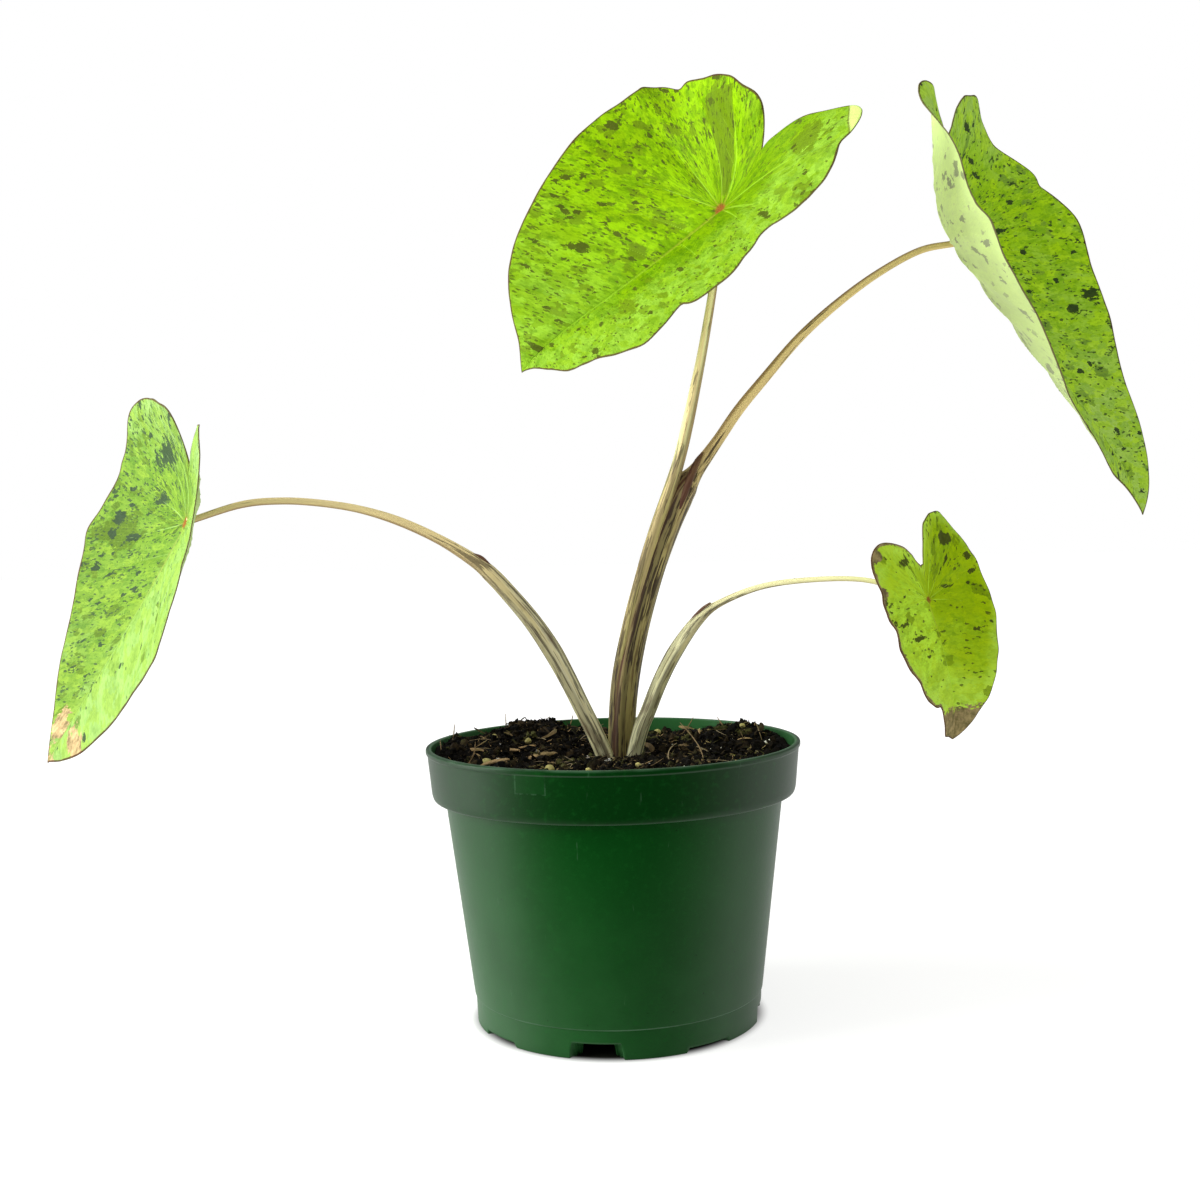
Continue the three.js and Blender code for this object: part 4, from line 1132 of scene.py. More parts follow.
def rounded(corners, fillets, arc_points=7, spacing=2.5):
    """A row of corners with each corner cut back by its fillet and bridged by a parabola."""
    rows = [corners[:1]]
    for k in range(1, len(corners) - 1):
        back, ahead = corners[k - 1] - corners[k], corners[k + 1] - corners[k]
        cut = min(fillets[k], 0.45 * np.hypot(*back), 0.45 * np.hypot(*ahead))
        start = corners[k] + back / np.hypot(*back) * cut
        end = corners[k] + ahead / np.hypot(*ahead) * cut
        t = np.linspace(0, 1, arc_points)[:, None]
        rows.append((1 - t) ** 2 * start + 2 * t * (1 - t) * corners[k] + t**2 * end)
    rows.append(corners[-1:])
    row = np.vstack(rows)
    spaced = [row[:1]]
    for start, end in zip(row[:-1], row[1:]):
        pieces = max(1, int(np.ceil(np.hypot(*(end - start)) / spacing)))
        spaced.append(start + (end - start) * np.linspace(0, 1, pieces + 1)[1:, None])
    return np.vstack(spaced)


def notch_angles():
    """Angles round the pot: even ones, with more of them at the sides of each notch."""
    even = np.linspace(0, 2 * np.pi, POT_SIDES, endpoint=False)
    middles = np.radians(NOTCH["middle"] + 360 / NOTCH["count"] * np.arange(NOTCH["count"]))
    inner = NOTCH["inner_width"] / 2 / (POT["foot_radius"] - POT["foot_width"])
    outer = NOTCH["outer_width"] / 2 / POT["foot_radius"]
    jamb = np.linspace(inner - 0.02, outer + 0.03, 12)
    sides = np.concatenate([jamb, -jamb])
    angles = np.concatenate([even, (middles[:, None] + sides[None]).ravel() % (2 * np.pi)])
    angles = np.unique(np.round(angles, 4))
    return angles[np.append(np.diff(angles) > 0.002, True)]


def make_pot(material):
    """A turned skin whose foot is lifted to the floor's underside in each notch.

    A notch is wide outside and narrow inside. Over its rounded jambs the lift eases from 0 to 1.
    """
    profile = pot_profile()
    angles = notch_angles()
    radius, height = profile[:, :1], profile[:, 1:]
    pitch = 2 * np.pi / NOTCH["count"]
    beside = (angles[None] - math.radians(NOTCH["middle"]) + pitch / 2) % pitch - pitch / 2
    depth = np.clip((POT["foot_radius"] - radius) / POT["foot_width"], -0.2, 1.2)
    half_width = (NOTCH["outer_width"] - (NOTCH["outer_width"] - NOTCH["inner_width"]) * depth) / 2
    past_jamb = (half_width - radius * np.abs(np.sin(beside))) / NOTCH["corner"]
    share = np.clip(past_jamb + 0.5, 0, 1)
    share = share * share * (3 - 2 * share)
    number = np.round((angles[None] - math.radians(NOTCH["middle"])) / pitch)
    low = np.where(number % 2 == 0, POT["floor_bottom"], POT["low_notch"]) * share
    outside = np.arange(len(profile))[:, None] < len(profile) * 0.6
    z = np.where(outside, np.maximum(height, np.minimum(low, POT["floor_bottom"])), height + 0 * low)
    rings = np.stack([radius * np.cos(angles), radius * np.sin(angles), z], -1) * MM
    skin, faces = closed_skin(np.array([0, 0, POT["floor_top"] * MM]), rings[-2:0:-1],
                              np.array([0, 0, POT["floor_bottom"] * MM]))
    return add_piece("pot_moulding", skin, faces, [material], "pot")


def pot_mark(g, x, z):
    """Masks of the mark on the band, seen from the front: its frame, and the field inside it."""
    across = abs(x - MARK["x"] * MM)
    upward = z - (POT["height"] - MARK["below_lip"]) * MM
    line, height = MARK["line"], MARK["half_height"]
    boxes = []
    for width, shift in ((MARK["half_width"], 0.0), (MARK["half_width"] - line, line)):
        beside = g.step(across, (width - 0.2) * MM, (width + 0.2) * MM)
        beyond = g.step(abs(upward - shift * MM), (height - 0.2) * MM, (height + 0.2) * MM)
        boxes.append((1 - beside) * (1 - beyond))
    whole, field = boxes
    return (whole - field).most(0), field


def pot_material(color, rough):
    """Moulded plastic: dark green with a fine stipple, small pits, scuffs, painted shade on and under the
    band, painted light inside, and a paler lip that is partly wear and partly painted highlight.
    """
    g = Graph("pot plastic")
    place = g.place()
    x, y, z = g.parts(place)
    stipple, fine = g.noise(place, 1500, 2, 0.5), g.noise(place, 420, 4, 0.65)
    cloud = g.noise(place, 22, 4, 0.6)

    # Tones by height: paler towards the bottom, with painted shade on the band and just under it; clouds,
    # stipple, pits, and painted light on the inner wall
    band = g.step(z, (POT["band_bottom"] - 0.5) * MM, (POT["band_bottom"] + 0.5) * MM)
    low = g.step(z, 98 * MM, 5 * MM)
    shade = g.mix(low * 0.8, color, toned(color, 1.2, 0.014))
    shade = g.mix(g.step(cloud, 0.3, 0.7) * 0.45, shade, toned(color, 0.62))
    # painted shade: the band darker than the wall
    shade = g.mix(band * 0.65, shade, toned(color, 0.3))
    # painted shade: the wall just under the band's overhang darker
    shade = g.mix(g.step(z, 86 * MM, 94 * MM) * (1 - band) * 0.6, shade, toned(color, 0.3))
    shade = g.mix(g.step(fine, 0.5, 0.75) * 0.3, shade, toned(color, 1.5, 0.004))
    pits = 1 - g.step(g.cells(place, 330), 0.0, 0.16)
    rare = g.step(g.noise(place, 90, 2), 0.57, 0.62)
    shade = g.mix(pits * rare * 0.8, shade, toned(color, 0.2))
    # painted light: the inner wall above the soil paler than the plastic
    inside = g.step((x * x + y * y) ** 0.5 - z * 0.085, 65.4 * MM, 65.0 * MM)
    shade = g.mix(inside * g.step(z, 93 * MM, 94 * MM), shade, toned(color, 2, 0.03))

    # Edges paler as wear and as painted highlights, and scratches
    broken = g.step(g.noise(place, 60, 3), 0.35, 0.65)
    seam = 1 - g.step(abs(z - (POT["seam_height"] + 0.2) * MM), 0.15 * MM, 0.5 * MM)
    parting = 1 - g.step(abs(z - (POT["band_bottom"] + 0.1) * MM), 0.2 * MM, 0.5 * MM)
    lip = g.step(z, (POT["height"] - 1.0) * MM, (POT["height"] - 0.2) * MM)
    # painted highlights, partly wear: paler lines along the seam, the parting line and the lip
    worn_and_highlit = (seam * 0.4 + parting * 0.1 + lip * 0.4) * (0.25 + broken * 0.75)
    shade = g.mix(worn_and_highlit.least(1), shade, WORN_AND_HIGHLIGHT_COLOR)
    scratch = g.step(g.noise(g.scaled(place, (1, 1, 0.12)), 260, 3, 0.7), 0.68, 0.74)
    shade = g.mix(scratch * 0.15, shade, WORN_AND_HIGHLIGHT_COLOR)

    # The mark on the band
    line, field = pot_mark(g, x, z)
    front = g.step(y, -30 * MM, -40 * MM)
    shade = g.mix(line * front * g.step(fine, 0.4, 0.6) * 0.2, shade, WORN_AND_HIGHLIGHT_COLOR)
    shade = g.mix(field * front * 0.12, shade, toned(color, 1.6, 0.004))
    normal = g.bump(stipple * 0.5 + fine * 0.5 - pits * rare, 0.00022, 0.5)
    gloss = g.step(g.add("ShaderNodeLayerWeight", {}, Blend=0.5, output="Facing"), 0.04, 0.42)
    return g.finish(Base_Color=shade, Roughness=rough + (fine - 0.5) * 0.2 + lip * 0.1, Normal=normal,
                    Specular_IOR_Level=0.02, Coat_Weight=gloss * 0.56, Coat_Roughness=0.42)


# Soil


def soil_height(x, y):
    """Height of the soil in metres: its level, bell-shaped mounds and a low roll of two sines."""
    x_mm, y_mm = x / MM, y / MM
    total = SOIL_LEVEL + 0 * x_mm
    for mound_x, mound_y, rise, reach in SOIL_MOUNDS:
        total = total + rise * np.exp(-((x_mm - mound_x) ** 2 + (y_mm - mound_y) ** 2) / reach**2)
    broad = np.sin(0.31 * x_mm + 0.12 * y_mm) * np.sin(0.27 * y_mm - 0.1 * x_mm)
    total = total + 0.7 * broad + 0.42 * np.sin(0.55 * x_mm - 0.4 * y_mm)
    grit = layered_noise(np.stack([x_mm / 6, y_mm / 6, 0 * x_mm], -1), 5, 3)
    return (total + 1.3 * grit) * MM


def inside_radius(height):
    """Radius of the pot's inner wall at a height, both in metres."""
    p = POT
    heights = (p["floor_top"] + 2 * p["wall"], p["band_bottom"] - p["wall"],
               p["band_bottom"] + 2 * p["wall"], p["height"])
    radii = (p["seam_radius"] - p["wall"], p["shoulder_radius"] - p["wall"], p["band_radius"] - p["wall"],
             p["lip_radius"] - p["lip_width"] - p["edge"] / 2)
    return np.interp(height / MM, heights, radii) * MM


def make_soil_bed(material):
    """The fill: rings out from the axis over a rough top, then down along the inner wall."""
    angles = np.linspace(0, 2 * np.pi, 260, endpoint=False)[None]
    share = np.linspace(0, 1, 76)[1:, None]
    gap = 0.3 * MM
    rim = inside_radius(np.full_like(angles, SOIL_LEVEL * MM)) - gap
    x, y = share * rim * np.cos(angles), share * rim * np.sin(angles)
    highest = (POT["height"] - 1.5) * MM
    z = soil_height(x, y)
    z = np.where(share > 0.97, np.minimum(z, highest), z)
    top = np.stack([x, y, z], -1)
    levels = np.array([100, 94, 89, 60, 30, 11.5, POT["floor_top"] + 0.5]) * MM
    walls = inside_radius(levels)[:, None] - gap - np.where(levels < 9 * MM, 1.8 * MM, 0)[:, None]
    side = np.stack([walls * np.cos(angles), walls * np.sin(angles), levels[:, None] + 0 * angles], -1)
    middle = np.array([0, 0, soil_height(np.zeros(1), np.zeros(1))[0]])
    skin, faces = closed_skin(middle, np.concatenate([top, side]), np.array([0, 0, levels[-1]]))
    fields = {"tint": np.full(len(skin), 0.1)}
    return add_piece("soil_bed", skin, faces, [material], "soil", fields)


def random_turns(rng, count, tilt=np.pi):
    """Rotation matrices: a spin about the vertical after a lean of up to tilt about a level line."""
    spin, lean, line = (rng.uniform(-1, 1, count) * size for size in (np.pi, tilt, np.pi))
    c, s = np.cos(spin), np.sin(spin)
    zero, one = np.zeros(count), np.ones(count)
    about_z = np.stack([c, -s, zero, s, c, zero, zero, zero, one], -1).reshape(count, 3, 3)
    axis = np.stack([np.cos(line), np.sin(line), zero], -1)
    cross = np.stack([zero, -axis[:, 2], axis[:, 1], axis[:, 2], zero, -axis[:, 0],
                      -axis[:, 1], axis[:, 0], zero], -1).reshape(count, 3, 3)
    sine, cosine = np.sin(lean)[:, None, None], np.cos(lean)[:, None, None]
    leaned = np.eye(3) + sine * cross + (1 - cosine) * (cross @ cross)
    return leaned @ about_z


def ball_shape(rings):
    """A unit ball as a closed skin: rings at even steps from pole to pole."""
    latitude = np.linspace(0, np.pi, rings + 2)[1:-1, None]
    around = np.linspace(0, 2 * np.pi, rings * 2, endpoint=False)[None]
    grid = np.stack([np.sin(latitude) * np.cos(around), np.sin(latitude) * np.sin(around),
                     np.cos(latitude) + 0 * around], -1)
    return closed_skin(np.array([0, 0, 1.0]), grid, np.array([0, 0, -1.0]))


def repeated(points, faces):
    """Joins copies of a shape: points is (copies, points of one, 3), faces are those of one."""
    copies, size = points.shape[:2]
    quads = [face for face in faces if len(face) == 4]
    tris = [face for face in faces if len(face) == 3]
    rows = []
    for group in (quads, tris):
        if group:
            shifted = np.array(group)[None] + (np.arange(copies) * size)[:, None, None]
            rows.extend(shifted.reshape(-1, len(group[0])).tolist())
    return points.reshape(-1, 3), rows


def lumps(rng, places, sizes, rings, roughness, tilt=np.pi):
    """Rough balls at places: each point of each ball is moved in or out by a random share."""
    points, faces = ball_shape(rings)
    count = len(places)
    shape = points[None] * (1 + roughness * rng.uniform(-1, 1, (count, len(points), 1)))
    shape = np.einsum("kij,kpj->kpi", random_turns(rng, count, tilt), shape * sizes[:, None])
    return repeated(shape + places[:, None], faces)


def strips(rng, places, heading, pitch, length, width, thickness, bend, lift, sides=6, stations=7):
    """Bent strips: each starts at a place and its heading and pitch change evenly along it.

    The section is an oval of the given width and thickness that narrows towards both ends.
    """
    share = np.linspace(0, 1, stations)[None]
    turn = heading[:, None] + bend[:, None] * share
    slope = pitch[:, None] + lift[:, None] * share
    way = np.stack([np.cos(turn) * np.cos(slope), np.sin(turn) * np.cos(slope), np.sin(slope)], -1)
    walk = np.cumsum(way, axis=1) - way[:, :1]
    centre = places[:, None] + walk * (length / (stations - 1))[:, None, None]
    side = np.stack([-np.sin(turn), np.cos(turn), 0 * turn], -1)
    upward = np.cross(way, side)
    roll = rng.uniform(-0.6, 0.6, len(places))[:, None, None]
    c, s = np.cos(roll), np.sin(roll)
    side, upward = side * c + upward * s, upward * c - side * s
    taper = 0.45 + 0.55 * np.sin(np.pi * share) ** 0.5
    taper = taper * rng.uniform(0.75, 1.15, (len(places), stations))
    angle = np.linspace(0, 2 * np.pi, sides, endpoint=False)
    across = side[:, :, None] * np.cos(angle)[:, None] * (width[:, None] * taper / 2)[..., None, None]
    rise = upward[:, :, None] * np.sin(angle)[:, None] * (thickness[:, None] * taper / 2)[..., None, None]
    rings = centre[:, :, None] + across + rise
    first, last = rings[:, -1].mean(1, keepdims=True), rings[:, 0].mean(1, keepdims=True)
    faces = closed_skin(first[0, 0], rings[0, ::-1], last[0, 0])[1]
    whole = np.concatenate([first, rings[:, ::-1].reshape(len(places), -1, 3), last], axis=1)
    return repeated(whole, faces)


def scattered(rng, count, nearest=0.0, furthest=70.5, sink=0.0):
    """Places on the soil, even over its area between two distances from the axis in millimetres."""
    angle = rng.uniform(0, 2 * np.pi, count)
    distance = np.sqrt(rng.uniform(nearest**2, furthest**2, count)) * MM
    x, y = distance * np.cos(angle), distance * np.sin(angle)
    return np.stack([x, y, soil_height(x, y) - sink * MM], -1)


def add_loose(name, parts, material, smooth=True):
    """One piece from several sets of points and faces, with a tint for each lump or strip."""
    points, faces, tints, start = [], [], [], 0
    for (part_points, part_faces), tint in parts:
        points.append(part_points)
        faces.extend([[corner + start for corner in face] for face in part_faces])
        tints.append(np.repeat(tint, len(part_points) // len(tint)))
        start += len(part_points)
    fields = {"tint": np.concatenate(tints)}
    return add_piece(name, np.vstack(points), faces, [material], None, fields,
                     smooth=smooth)


def make_crumbs(count, material):
    """Crumbs of peat and fine bark, in three sizes."""
    rng = np.random.default_rng(3)
    parts = []
    for share, low, high in CRUMB_SIZES:
        number = int(count * share)
        sizes = rng.uniform(low, high, (number, 3)) * MM
        places = scattered(rng, number, 0, 71 - high, -0.2)
        parts.append((lumps(rng, places, sizes, 3, 0.45), rng.uniform(0, 0.75, number) ** 2))
    return add_loose("soil_crumbs", parts, material, smooth=False)


def make_bark(count, material):
    """Shreds and chips of bark, lying flat or leaning, from dark to a few tan ones."""
    rng = np.random.default_rng(8)
    parts = []
    for share, length, width, thick, steepest, stations in BARK_SIZES:
        number = int(count * share)
        places = scattered(rng, number, 0, 69 - length[1] * 0.5, -0.5)
        lengths = rng.uniform(*length, number) * MM
        heading = rng.uniform(-np.pi, np.pi, number)
        pitch = rng.uniform(-0.15, steepest, number)
        widths = rng.uniform(*width, number) * MM
        bend, lift = rng.uniform(-1.4, 1.4, number), rng.uniform(-1.1, 0.3, number)
        strip = strips(rng, places, heading, pitch, lengths, widths, np.full(number, thick * MM),
                       bend, lift, 4 + stations % 4, stations)
        parts.append((strip, rng.uniform(0.1, 1.0, number) ** 1.3))
    return add_loose("soil_bark", parts, material, smooth=False)


def make_chips(material):
    """The large tan chips, each in its place."""
    rng = np.random.default_rng(21)
    x, y, heading, length, width, thick = np.array(CHIPS, float).T
    x, y, length, width, thick = x * MM, y * MM, length * MM, width * MM, thick * MM
    places = np.stack([x, y, soil_height(x, y) + 0.6 * MM], -1)
    count = len(CHIPS)
    strip = strips(rng, places, np.radians(heading), rng.uniform(0, 0.3, count), length, width, thick,
                   rng.uniform(-0.6, 0.6, count), rng.uniform(-0.5, 0, count), 8, 12)
    return add_loose("soil_chips", [(strip, rng.uniform(0.8, 1.0, count))], material)


def make_granules(material):
    """The pale feed granules, each in its place and a little sunk."""
    rng = np.random.default_rng(13)
    x, y, diameter = np.array(GRANULES, float).T * MM
    places = np.stack([x, y, soil_height(x, y) + diameter * 0.25], -1)
    sizes = diameter[:, None] / 2 * rng.uniform(0.85, 1.1, (len(GRANULES), 3))
    points, faces = lumps(rng, places, sizes, 9, 0.05)
    return add_piece("soil_granules", points, faces, [material])


def make_perlite(count, material):
    """White crumbs of expanded rock."""
    rng = np.random.default_rng(17)
    places = scattered(rng, count, 5, 68, -0.1)
    sizes = rng.uniform(0.5, 1.5, (count, 3)) * MM
    points, faces = lumps(rng, places, sizes, 5, 0.2)
    return add_piece("soil_perlite", points, faces, [material])


def make_fibres(count, material):
    """Thin roots and straws on the soil, with a few that stand up."""
    rng = np.random.default_rng(31)
    places = scattered(rng, count, 6, 62, -0.6)
    loose = strips(rng, places, rng.uniform(-np.pi, np.pi, count), rng.uniform(-0.05, 0.5, count),
                   rng.uniform(4, 15, count) * MM, rng.uniform(0.14, 0.34, count) * MM,
                   rng.uniform(0.14, 0.3, count) * MM, rng.uniform(-2.4, 2.4, count),
                   rng.uniform(-0.9, 0.1, count), 5, 12)
    x, y, heading, pitch, length, bend = np.array(SPRIGS, float).T
    x, y, number = x * MM, y * MM, len(SPRIGS)
    places = np.stack([x, y, soil_height(x, y)], -1)
    standing = strips(rng, places, np.radians(heading), np.radians(pitch), length * MM,
                      np.full(number, 0.5 * MM), np.full(number, 0.4 * MM), bend, bend * 0.4, 5, 14)
    parts = [(loose, rng.uniform(0.2, 1, count)), (standing, rng.uniform(0.3, 0.9, number))]
    return add_loose("soil_fibres", parts, material)


def soil_material():
    """Damp peat and bark: black-brown to tan by tint, with grain, specks and a few damp glints."""
    g = Graph("potting mix")
    place = g.place()
    tint = g.attribute("tint") + (g.noise(place, 300, 4, 0.7) - 0.5) * 0.4
    stops = ((0.0, (0.0015, 0.001, 0.0008)), (0.3, (0.008, 0.0055, 0.003)),
             (0.55, (0.045, 0.03, 0.014)), (0.8, (0.19, 0.13, 0.06)), (1.0, (0.6, 0.4, 0.2)))
    color = g.ramp(tint, stops)
    moss = g.step(g.noise(place, 90, 3), 0.48, 0.62) * g.step(tint, 0.25, 0.5)
    color = g.mix(moss * 0.55, color, (0.1, 0.11, 0.03))
    speck = g.step(g.noise(place, 900, 2, 0.6), 0.68, 0.72)
    color = g.mix(speck * 0.45, color, (0.12, 0.08, 0.045))
    normal = g.bump(g.noise(place, 700, 4, 0.75), 0.0008, 0.8)
    damp = g.step(g.noise(place, 130, 3), 0.5, 0.68)
    return g.finish(Base_Color=color, Roughness=0.92 - damp * 0.3, Normal=normal, Specular_IOR_Level=0.12)


def fibre_material():
    """Roots and straws, brown to straw colour by tint."""
    g = Graph("root fibre")
    place = g.place()
    stops = ((0.0, (0.08, 0.045, 0.02)), (0.5, (0.3, 0.2, 0.1)), (1.0, (0.55, 0.45, 0.28)))
    color = g.ramp(g.attribute("tint"), stops)
    color = g.mix(g.noise(place, 600, 3) * 0.5, color, (0.12, 0.07, 0.03))
    rough = 0.75 + g.noise(place, 300, 2) * 0.1
    return g.finish(Base_Color=color, Roughness=rough, Specular_IOR_Level=0.25)


def granule_material():
    """Feed granules, olive to straw yellow with brown specks."""
    g = Graph("feed granule")
    place = g.place()
    color = g.mix(g.noise(place, 260, 3), (0.32, 0.3, 0.07), (0.62, 0.52, 0.2))
    color = g.mix(g.step(g.noise(place, 700, 3, 0.7), 0.58, 0.66) * 0.7, color, (0.1, 0.06, 0.03))
    normal = g.bump(g.noise(place, 900, 3), 0.0003, 0.5)
    return g.finish(Base_Color=color, Roughness=0.55 + g.noise(place, 200, 2) * 0.1, Normal=normal,
                    Specular_IOR_Level=0.4)


def perlite_material():
    """White rock foam with pores and a little soil on it."""
    g = Graph("perlite")
    place = g.place()
    color = g.mix(g.noise(place, 400, 3), (0.72, 0.68, 0.58), (0.9, 0.88, 0.82))
    color = g.mix(g.step(g.noise(place, 800, 3, 0.7), 0.6, 0.7) * 0.7, color, (0.2, 0.13, 0.08))
    normal = g.bump(g.cells(place, 1600), 0.0004, 0.7)
    return g.finish(Base_Color=color, Roughness=0.9 - g.noise(place, 200, 2) * 0.05, Normal=normal,
                    Specular_IOR_Level=0.2)


def corm_material():
    """Rootstock bark: brown rings round the corm with a fibrous grain."""
    g = Graph("corm bark")
    place = g.place()
    z = g.parts(place)[2]
    rings = g.step(g.noise(g.scaled(place, (0.2, 0.2, 1)), 500, 3), 0.4, 0.65)
    color = g.mix(rings, (0.16, 0.08, 0.04), (0.34, 0.2, 0.11))
    color = g.mix(g.step(z, 0.06, 0.09) * 0.4, color, (0.5, 0.36, 0.2))
    normal = g.bump(g.noise(place, 900, 4), 0.0004, 0.7)
    return g.finish(Base_Color=color, Roughness=0.85 + rings * 0.1, Normal=normal,
                    Specular_IOR_Level=0.25)


# Stage


def look_at(thing, target):
    """Turns a light so that it shines at a point."""
    way = np.array(target, float) - np.array(thing.location)
    yaw, pitch = math.atan2(way[0], way[1]), math.atan2(math.hypot(way[0], way[1]), -way[2])
    thing.rotation_euler = (pitch, 0, -yaw)


def add_light(name, place, size, power, color):
    """A rectangular lamp that shines at the plant's middle."""
    lamp = bpy.data.lights.new(name, "AREA")
    lamp.shape = "RECTANGLE"
    lamp.size, lamp.size_y = size
    lamp.energy = power
    lamp.color = color
    light = bpy.data.objects.new(name, lamp)
    light.location = place
    look_at(light, LAMP_TARGET)
    bpy.context.scene.collection.objects.link(light)


def add_floor(color, glow):
    """A pale floor plane with a little light of its own, more of it far away, and a painted shadow under
    the pot: no light there and a near-black colour.
    """
    mesh = bpy.data.meshes.new("floor")
    reach = 8.0
    mesh.from_pydata([(-reach, -reach, 0), (reach, -reach, 0), (reach, reach, 0), (-reach, reach, 0)],
                     [], [(0, 1, 2, 3)])
    floor = bpy.data.objects.new("floor", mesh)
    g = Graph("floor")
    x, y = g.parts(g.place())[:2]
    distance = (x * x + y * y) ** 0.5
    # painted shadow: under the pot the floor has no glow and a near-black colour
    away, under_pot_shadow = g.step(distance, 0.2, 1.2), g.step(distance, 0.062, 0.054)
    own = g.mix((glow + away * (1 - glow)) * (1 - under_pot_shadow), (0.0, 0.0, 0.0), (1.0, 1.0, 1.0))
    surface = g.mix(under_pot_shadow, color, (0.02, 0.02, 0.015))
    mesh.materials.append(g.finish(Base_Color=surface, Roughness=0.9, Emission_Color=own,
                                   Emission_Strength=1.0, Specular_IOR_Level=0.1))
    bpy.context.scene.collection.objects.link(floor)
    floor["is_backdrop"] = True


def add_world(ambient, front):
    """White for the camera. Other rays see it dimmer in front, and brighter behind and at the left."""
    g = Graph("studio", bpy.data.worlds.new)
    x, y = g.parts(g.add("ShaderNodeTexCoord", {}, output="Generated"))[:2]
    behind = g.step(y - x * 1.2, -0.75, 0.9)
    strength = front + behind * (ambient - front)
    seen = g.add("ShaderNodeLightPath", {}, output="Is Camera Ray")
    strength = strength + seen * (1 - strength)
    sky = g.add("ShaderNodeBackground", {}, Color=(1, 1, 1, 1), Strength=strength)
    output = g.tree.nodes.new("ShaderNodeOutputWorld")
    g.tree.links.new(sky.socket, output.inputs["Surface"])
    bpy.context.scene.world = g.owner


def add_camera():
    """The camera in front of the plant, turned by yaw and pitch and then rolled."""
    yaw, pitch, roll = np.radians(CAMERA_TURN)
    ahead = np.array([math.sin(yaw) * math.cos(pitch), math.cos(yaw) * math.cos(pitch),
                      -math.sin(pitch)])
    level = np.array([math.cos(yaw), -math.sin(yaw), 0])
    upright = np.cross(level, ahead)
    right = math.cos(roll) * level + math.sin(roll) * upright
    above = math.cos(roll) * upright - math.sin(roll) * level
    lens = bpy.data.cameras.new("camera")
    lens.sensor_width = CAMERA_SENSOR
    lens.lens = CAMERA_LENS
    lens.clip_end = 50
    camera = bpy.data.objects.new("camera", lens)
    turn = Matrix(np.stack([right, above, -ahead], -1).tolist()).to_4x4()
    camera.matrix_world = Matrix.Translation(CAMERA_PLACE) @ turn
    bpy.context.scene.collection.objects.link(camera)
    bpy.context.scene.camera = camera


# Add-on


class ElephantEarSettings(bpy.types.PropertyGroup):
    """What a user may change before the pieces are made"""

    blade_thickness: bpy.props.FloatProperty(
        name="Blade thickness", description="Thickness of a blade near its joint",
        default=0.0009, min=0.0003, max=0.003, precision=4, unit="LENGTH")
    quilting: bpy.props.FloatProperty(
        name="Quilting", description="How far the blade bulges up between its veins",
        default=0.0009, min=0, max=0.004, precision=4, unit="LENGTH")
    wave_height: bpy.props.FloatProperty(
        name="Wave height", description="Height of the waves along a blade's margin",
        default=0.0011, min=0, max=0.005, precision=4, unit="LENGTH")
    blade_rings: bpy.props.IntProperty(
        name="Blade rings", description="Rings from the joint to the margin of a large blade",
        default=84, min=24, max=110)
    stem_sides: bpy.props.IntProperty(
        name="Stem sides", description="Points round a stem", default=40, min=12, max=80)
    pot_color: bpy.props.FloatVectorProperty(
        name="Pot colour", description="Colour of the pot's plastic", subtype="COLOR",
        default=(0.0006, 0.047, 0.0035), min=0, max=1)
    pot_roughness: bpy.props.FloatProperty(
        name="Pot roughness", description="Roughness of the pot's plastic", subtype="FACTOR",
        default=0.48, min=0.1, max=1)
    crumbs: bpy.props.IntProperty(
        name="Crumbs", description="Number of peat crumbs on the soil", default=5000, min=0, max=5500)
    bark: bpy.props.IntProperty(
        name="Bark", description="Number of bark shreds on the soil", default=2600, min=0, max=4000)
    perlite: bpy.props.IntProperty(
        name="Perlite", description="Number of white crumbs on the soil", default=34, min=0, max=300)
    fibres: bpy.props.IntProperty(
        name="Fibres", description="Number of loose root fibres on the soil", default=80, min=0, max=400)
    floor_color: bpy.props.FloatVectorProperty(
        name="Floor colour", description="Colour of the floor", subtype="COLOR",
        default=(0.35, 0.35, 0.34), min=0, max=1)
    light: bpy.props.FloatProperty(
        name="Light", description="Strength of the lamps, as a share of their usual strength",
        default=1.0, min=0, max=4, subtype="FACTOR")


class ELEPHANT_EAR_OT_leaves(bpy.types.Operator):
    """Make the four leaf blades"""

    bl_idname = "elephant_ear.leaves"
    bl_label = "Leaves"

    def execute(self, context):
        settings = context.scene.elephant_ear
        for seed, (name, shape) in enumerate(BLADES.items(), 1):
            blade = {**PLAIN_BLADE, **shape}
            rings = settings.blade_rings * (0.62 if blade["length"] < SMALL_BLADE else 1)
            detail = (int(2.6 * rings) + 1, int(rings))
            quilt = settings.quilting * min(blade["length"] / QUILTED_LENGTH, 1)
            wave = settings.wave_height * blade["wave"]
            skin, faces, fields, is_under = make_blade(
                blade, settings.blade_thickness, quilt, wave, detail)
            materials = [leaf_material(name + "_" + part, blade["look"], seed, part == "underside")
                         for part in ("upper", "underside")]
            add_piece(name + "_blade", skin, faces, materials, name, fields, is_under)
        return {"FINISHED"}


class ELEPHANT_EAR_OT_stems(bpy.types.Operator):
    """Make the four stems"""

    bl_idname = "elephant_ear.stems"
    bl_label = "Stems"

    def execute(self, context):
        settings = context.scene.elephant_ear
        for seed, (name, stem) in enumerate(STEMS.items(), 1):
            make_stem(name, stem, settings.stem_sides, STEM_ROWS, stem_material(name, stem, seed))
        return {"FINISHED"}


class ELEPHANT_EAR_OT_pot(bpy.types.Operator):
    """Make the pot"""

    bl_idname = "elephant_ear.pot"
    bl_label = "Pot"

    def execute(self, context):
        settings = context.scene.elephant_ear
        make_pot(pot_material(tuple(settings.pot_color), settings.pot_roughness))
        return {"FINISHED"}


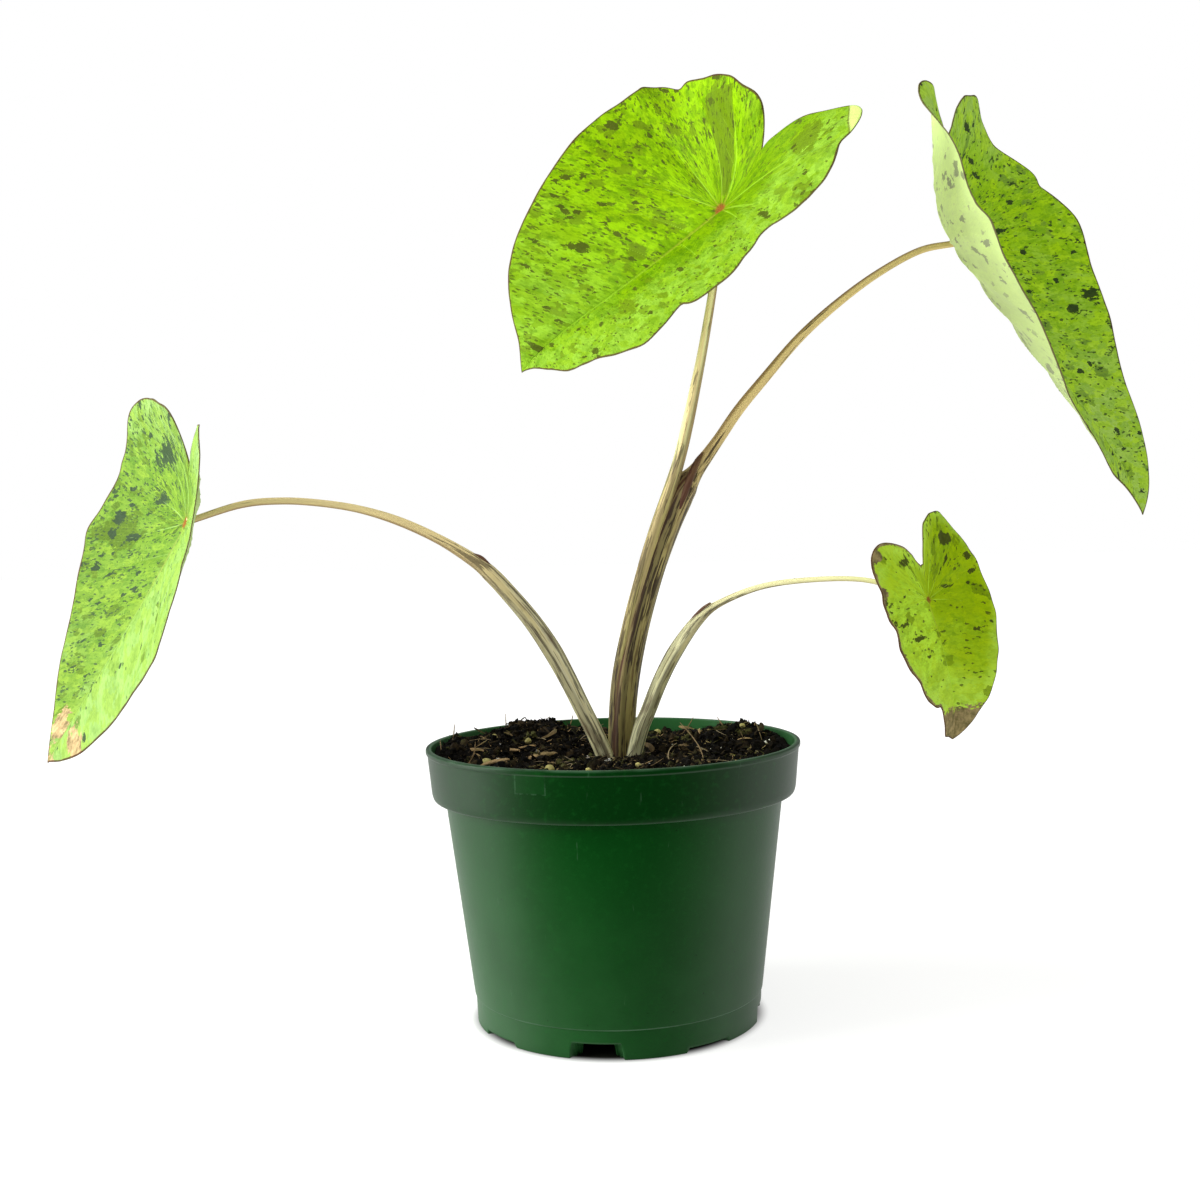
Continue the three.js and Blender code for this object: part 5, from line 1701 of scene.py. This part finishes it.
class ELEPHANT_EAR_OT_soil(bpy.types.Operator):
    """Make the soil with its crumbs, bark, granules and fibres"""

    bl_idname = "elephant_ear.soil"
    bl_label = "Soil"

    def execute(self, context):
        settings = context.scene.elephant_ear
        mix = soil_material()
        make_soil_bed(mix)
        make_crumbs(settings.crumbs, mix)
        make_bark(settings.bark, mix)
        make_chips(mix)
        make_granules(granule_material())
        make_perlite(settings.perlite, perlite_material())
        make_fibres(settings.fibres, fibre_material())
        return {"FINISHED"}


class ELEPHANT_EAR_OT_corm(bpy.types.Operator):
    """Give the corm its bark"""

    bl_idname = "elephant_ear.corm"
    bl_label = "Corm"

    def execute(self, context):
        material = corm_material()
        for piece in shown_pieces():
            if piece.name.startswith("corm"):
                for slot in piece.material_slots:
                    slot.material = material
        return {"FINISHED"}


class ELEPHANT_EAR_OT_stage(bpy.types.Operator):
    """Make the floor, the lamps, the background and the camera"""

    bl_idname = "elephant_ear.stage"
    bl_label = "Stage"

    def execute(self, context):
        settings = context.scene.elephant_ear
        add_floor(tuple(settings.floor_color), FLOOR_GLOW)
        for name, (place, size, power, color) in LAMPS.items():
            add_light(name, place, size, power * settings.light, color)
        add_world(*WORLD_LIGHT)
        add_camera()
        context.scene.view_settings.view_transform = "Standard"
        context.scene.view_settings.look = "None"
        return {"FINISHED"}


class ELEPHANT_EAR_PT_panel(bpy.types.Panel):
    """Settings and buttons for the potted elephant ear"""

    bl_label = "Elephant Ear"
    bl_space_type = "VIEW_3D"
    bl_region_type = "UI"
    bl_category = "Elephant Ear"

    def draw(self, context):
        settings = context.scene.elephant_ear
        for name in ElephantEarSettings.__annotations__:
            self.layout.prop(settings, name)
        for operator in OPERATORS:
            self.layout.operator(operator.bl_idname)


OPERATORS = (ELEPHANT_EAR_OT_leaves, ELEPHANT_EAR_OT_stems, ELEPHANT_EAR_OT_pot, ELEPHANT_EAR_OT_soil,
             ELEPHANT_EAR_OT_corm, ELEPHANT_EAR_OT_stage)
CLASSES = (ElephantEarSettings, *OPERATORS, ELEPHANT_EAR_PT_panel)


def register():
    for kind in CLASSES:
        bpy.utils.register_class(kind)
    bpy.types.Scene.elephant_ear = bpy.props.PointerProperty(type=ElephantEarSettings)


def unregister():
    del bpy.types.Scene.elephant_ear
    for kind in reversed(CLASSES):
        bpy.utils.unregister_class(kind)


def main():
    register()
    bpy.ops.elephant_ear.leaves()
    bpy.ops.elephant_ear.stems()
    bpy.ops.elephant_ear.pot()
    bpy.ops.elephant_ear.soil()
    bpy.ops.elephant_ear.corm()
    bpy.ops.elephant_ear.stage()


if __name__ == "__main__":
    main()
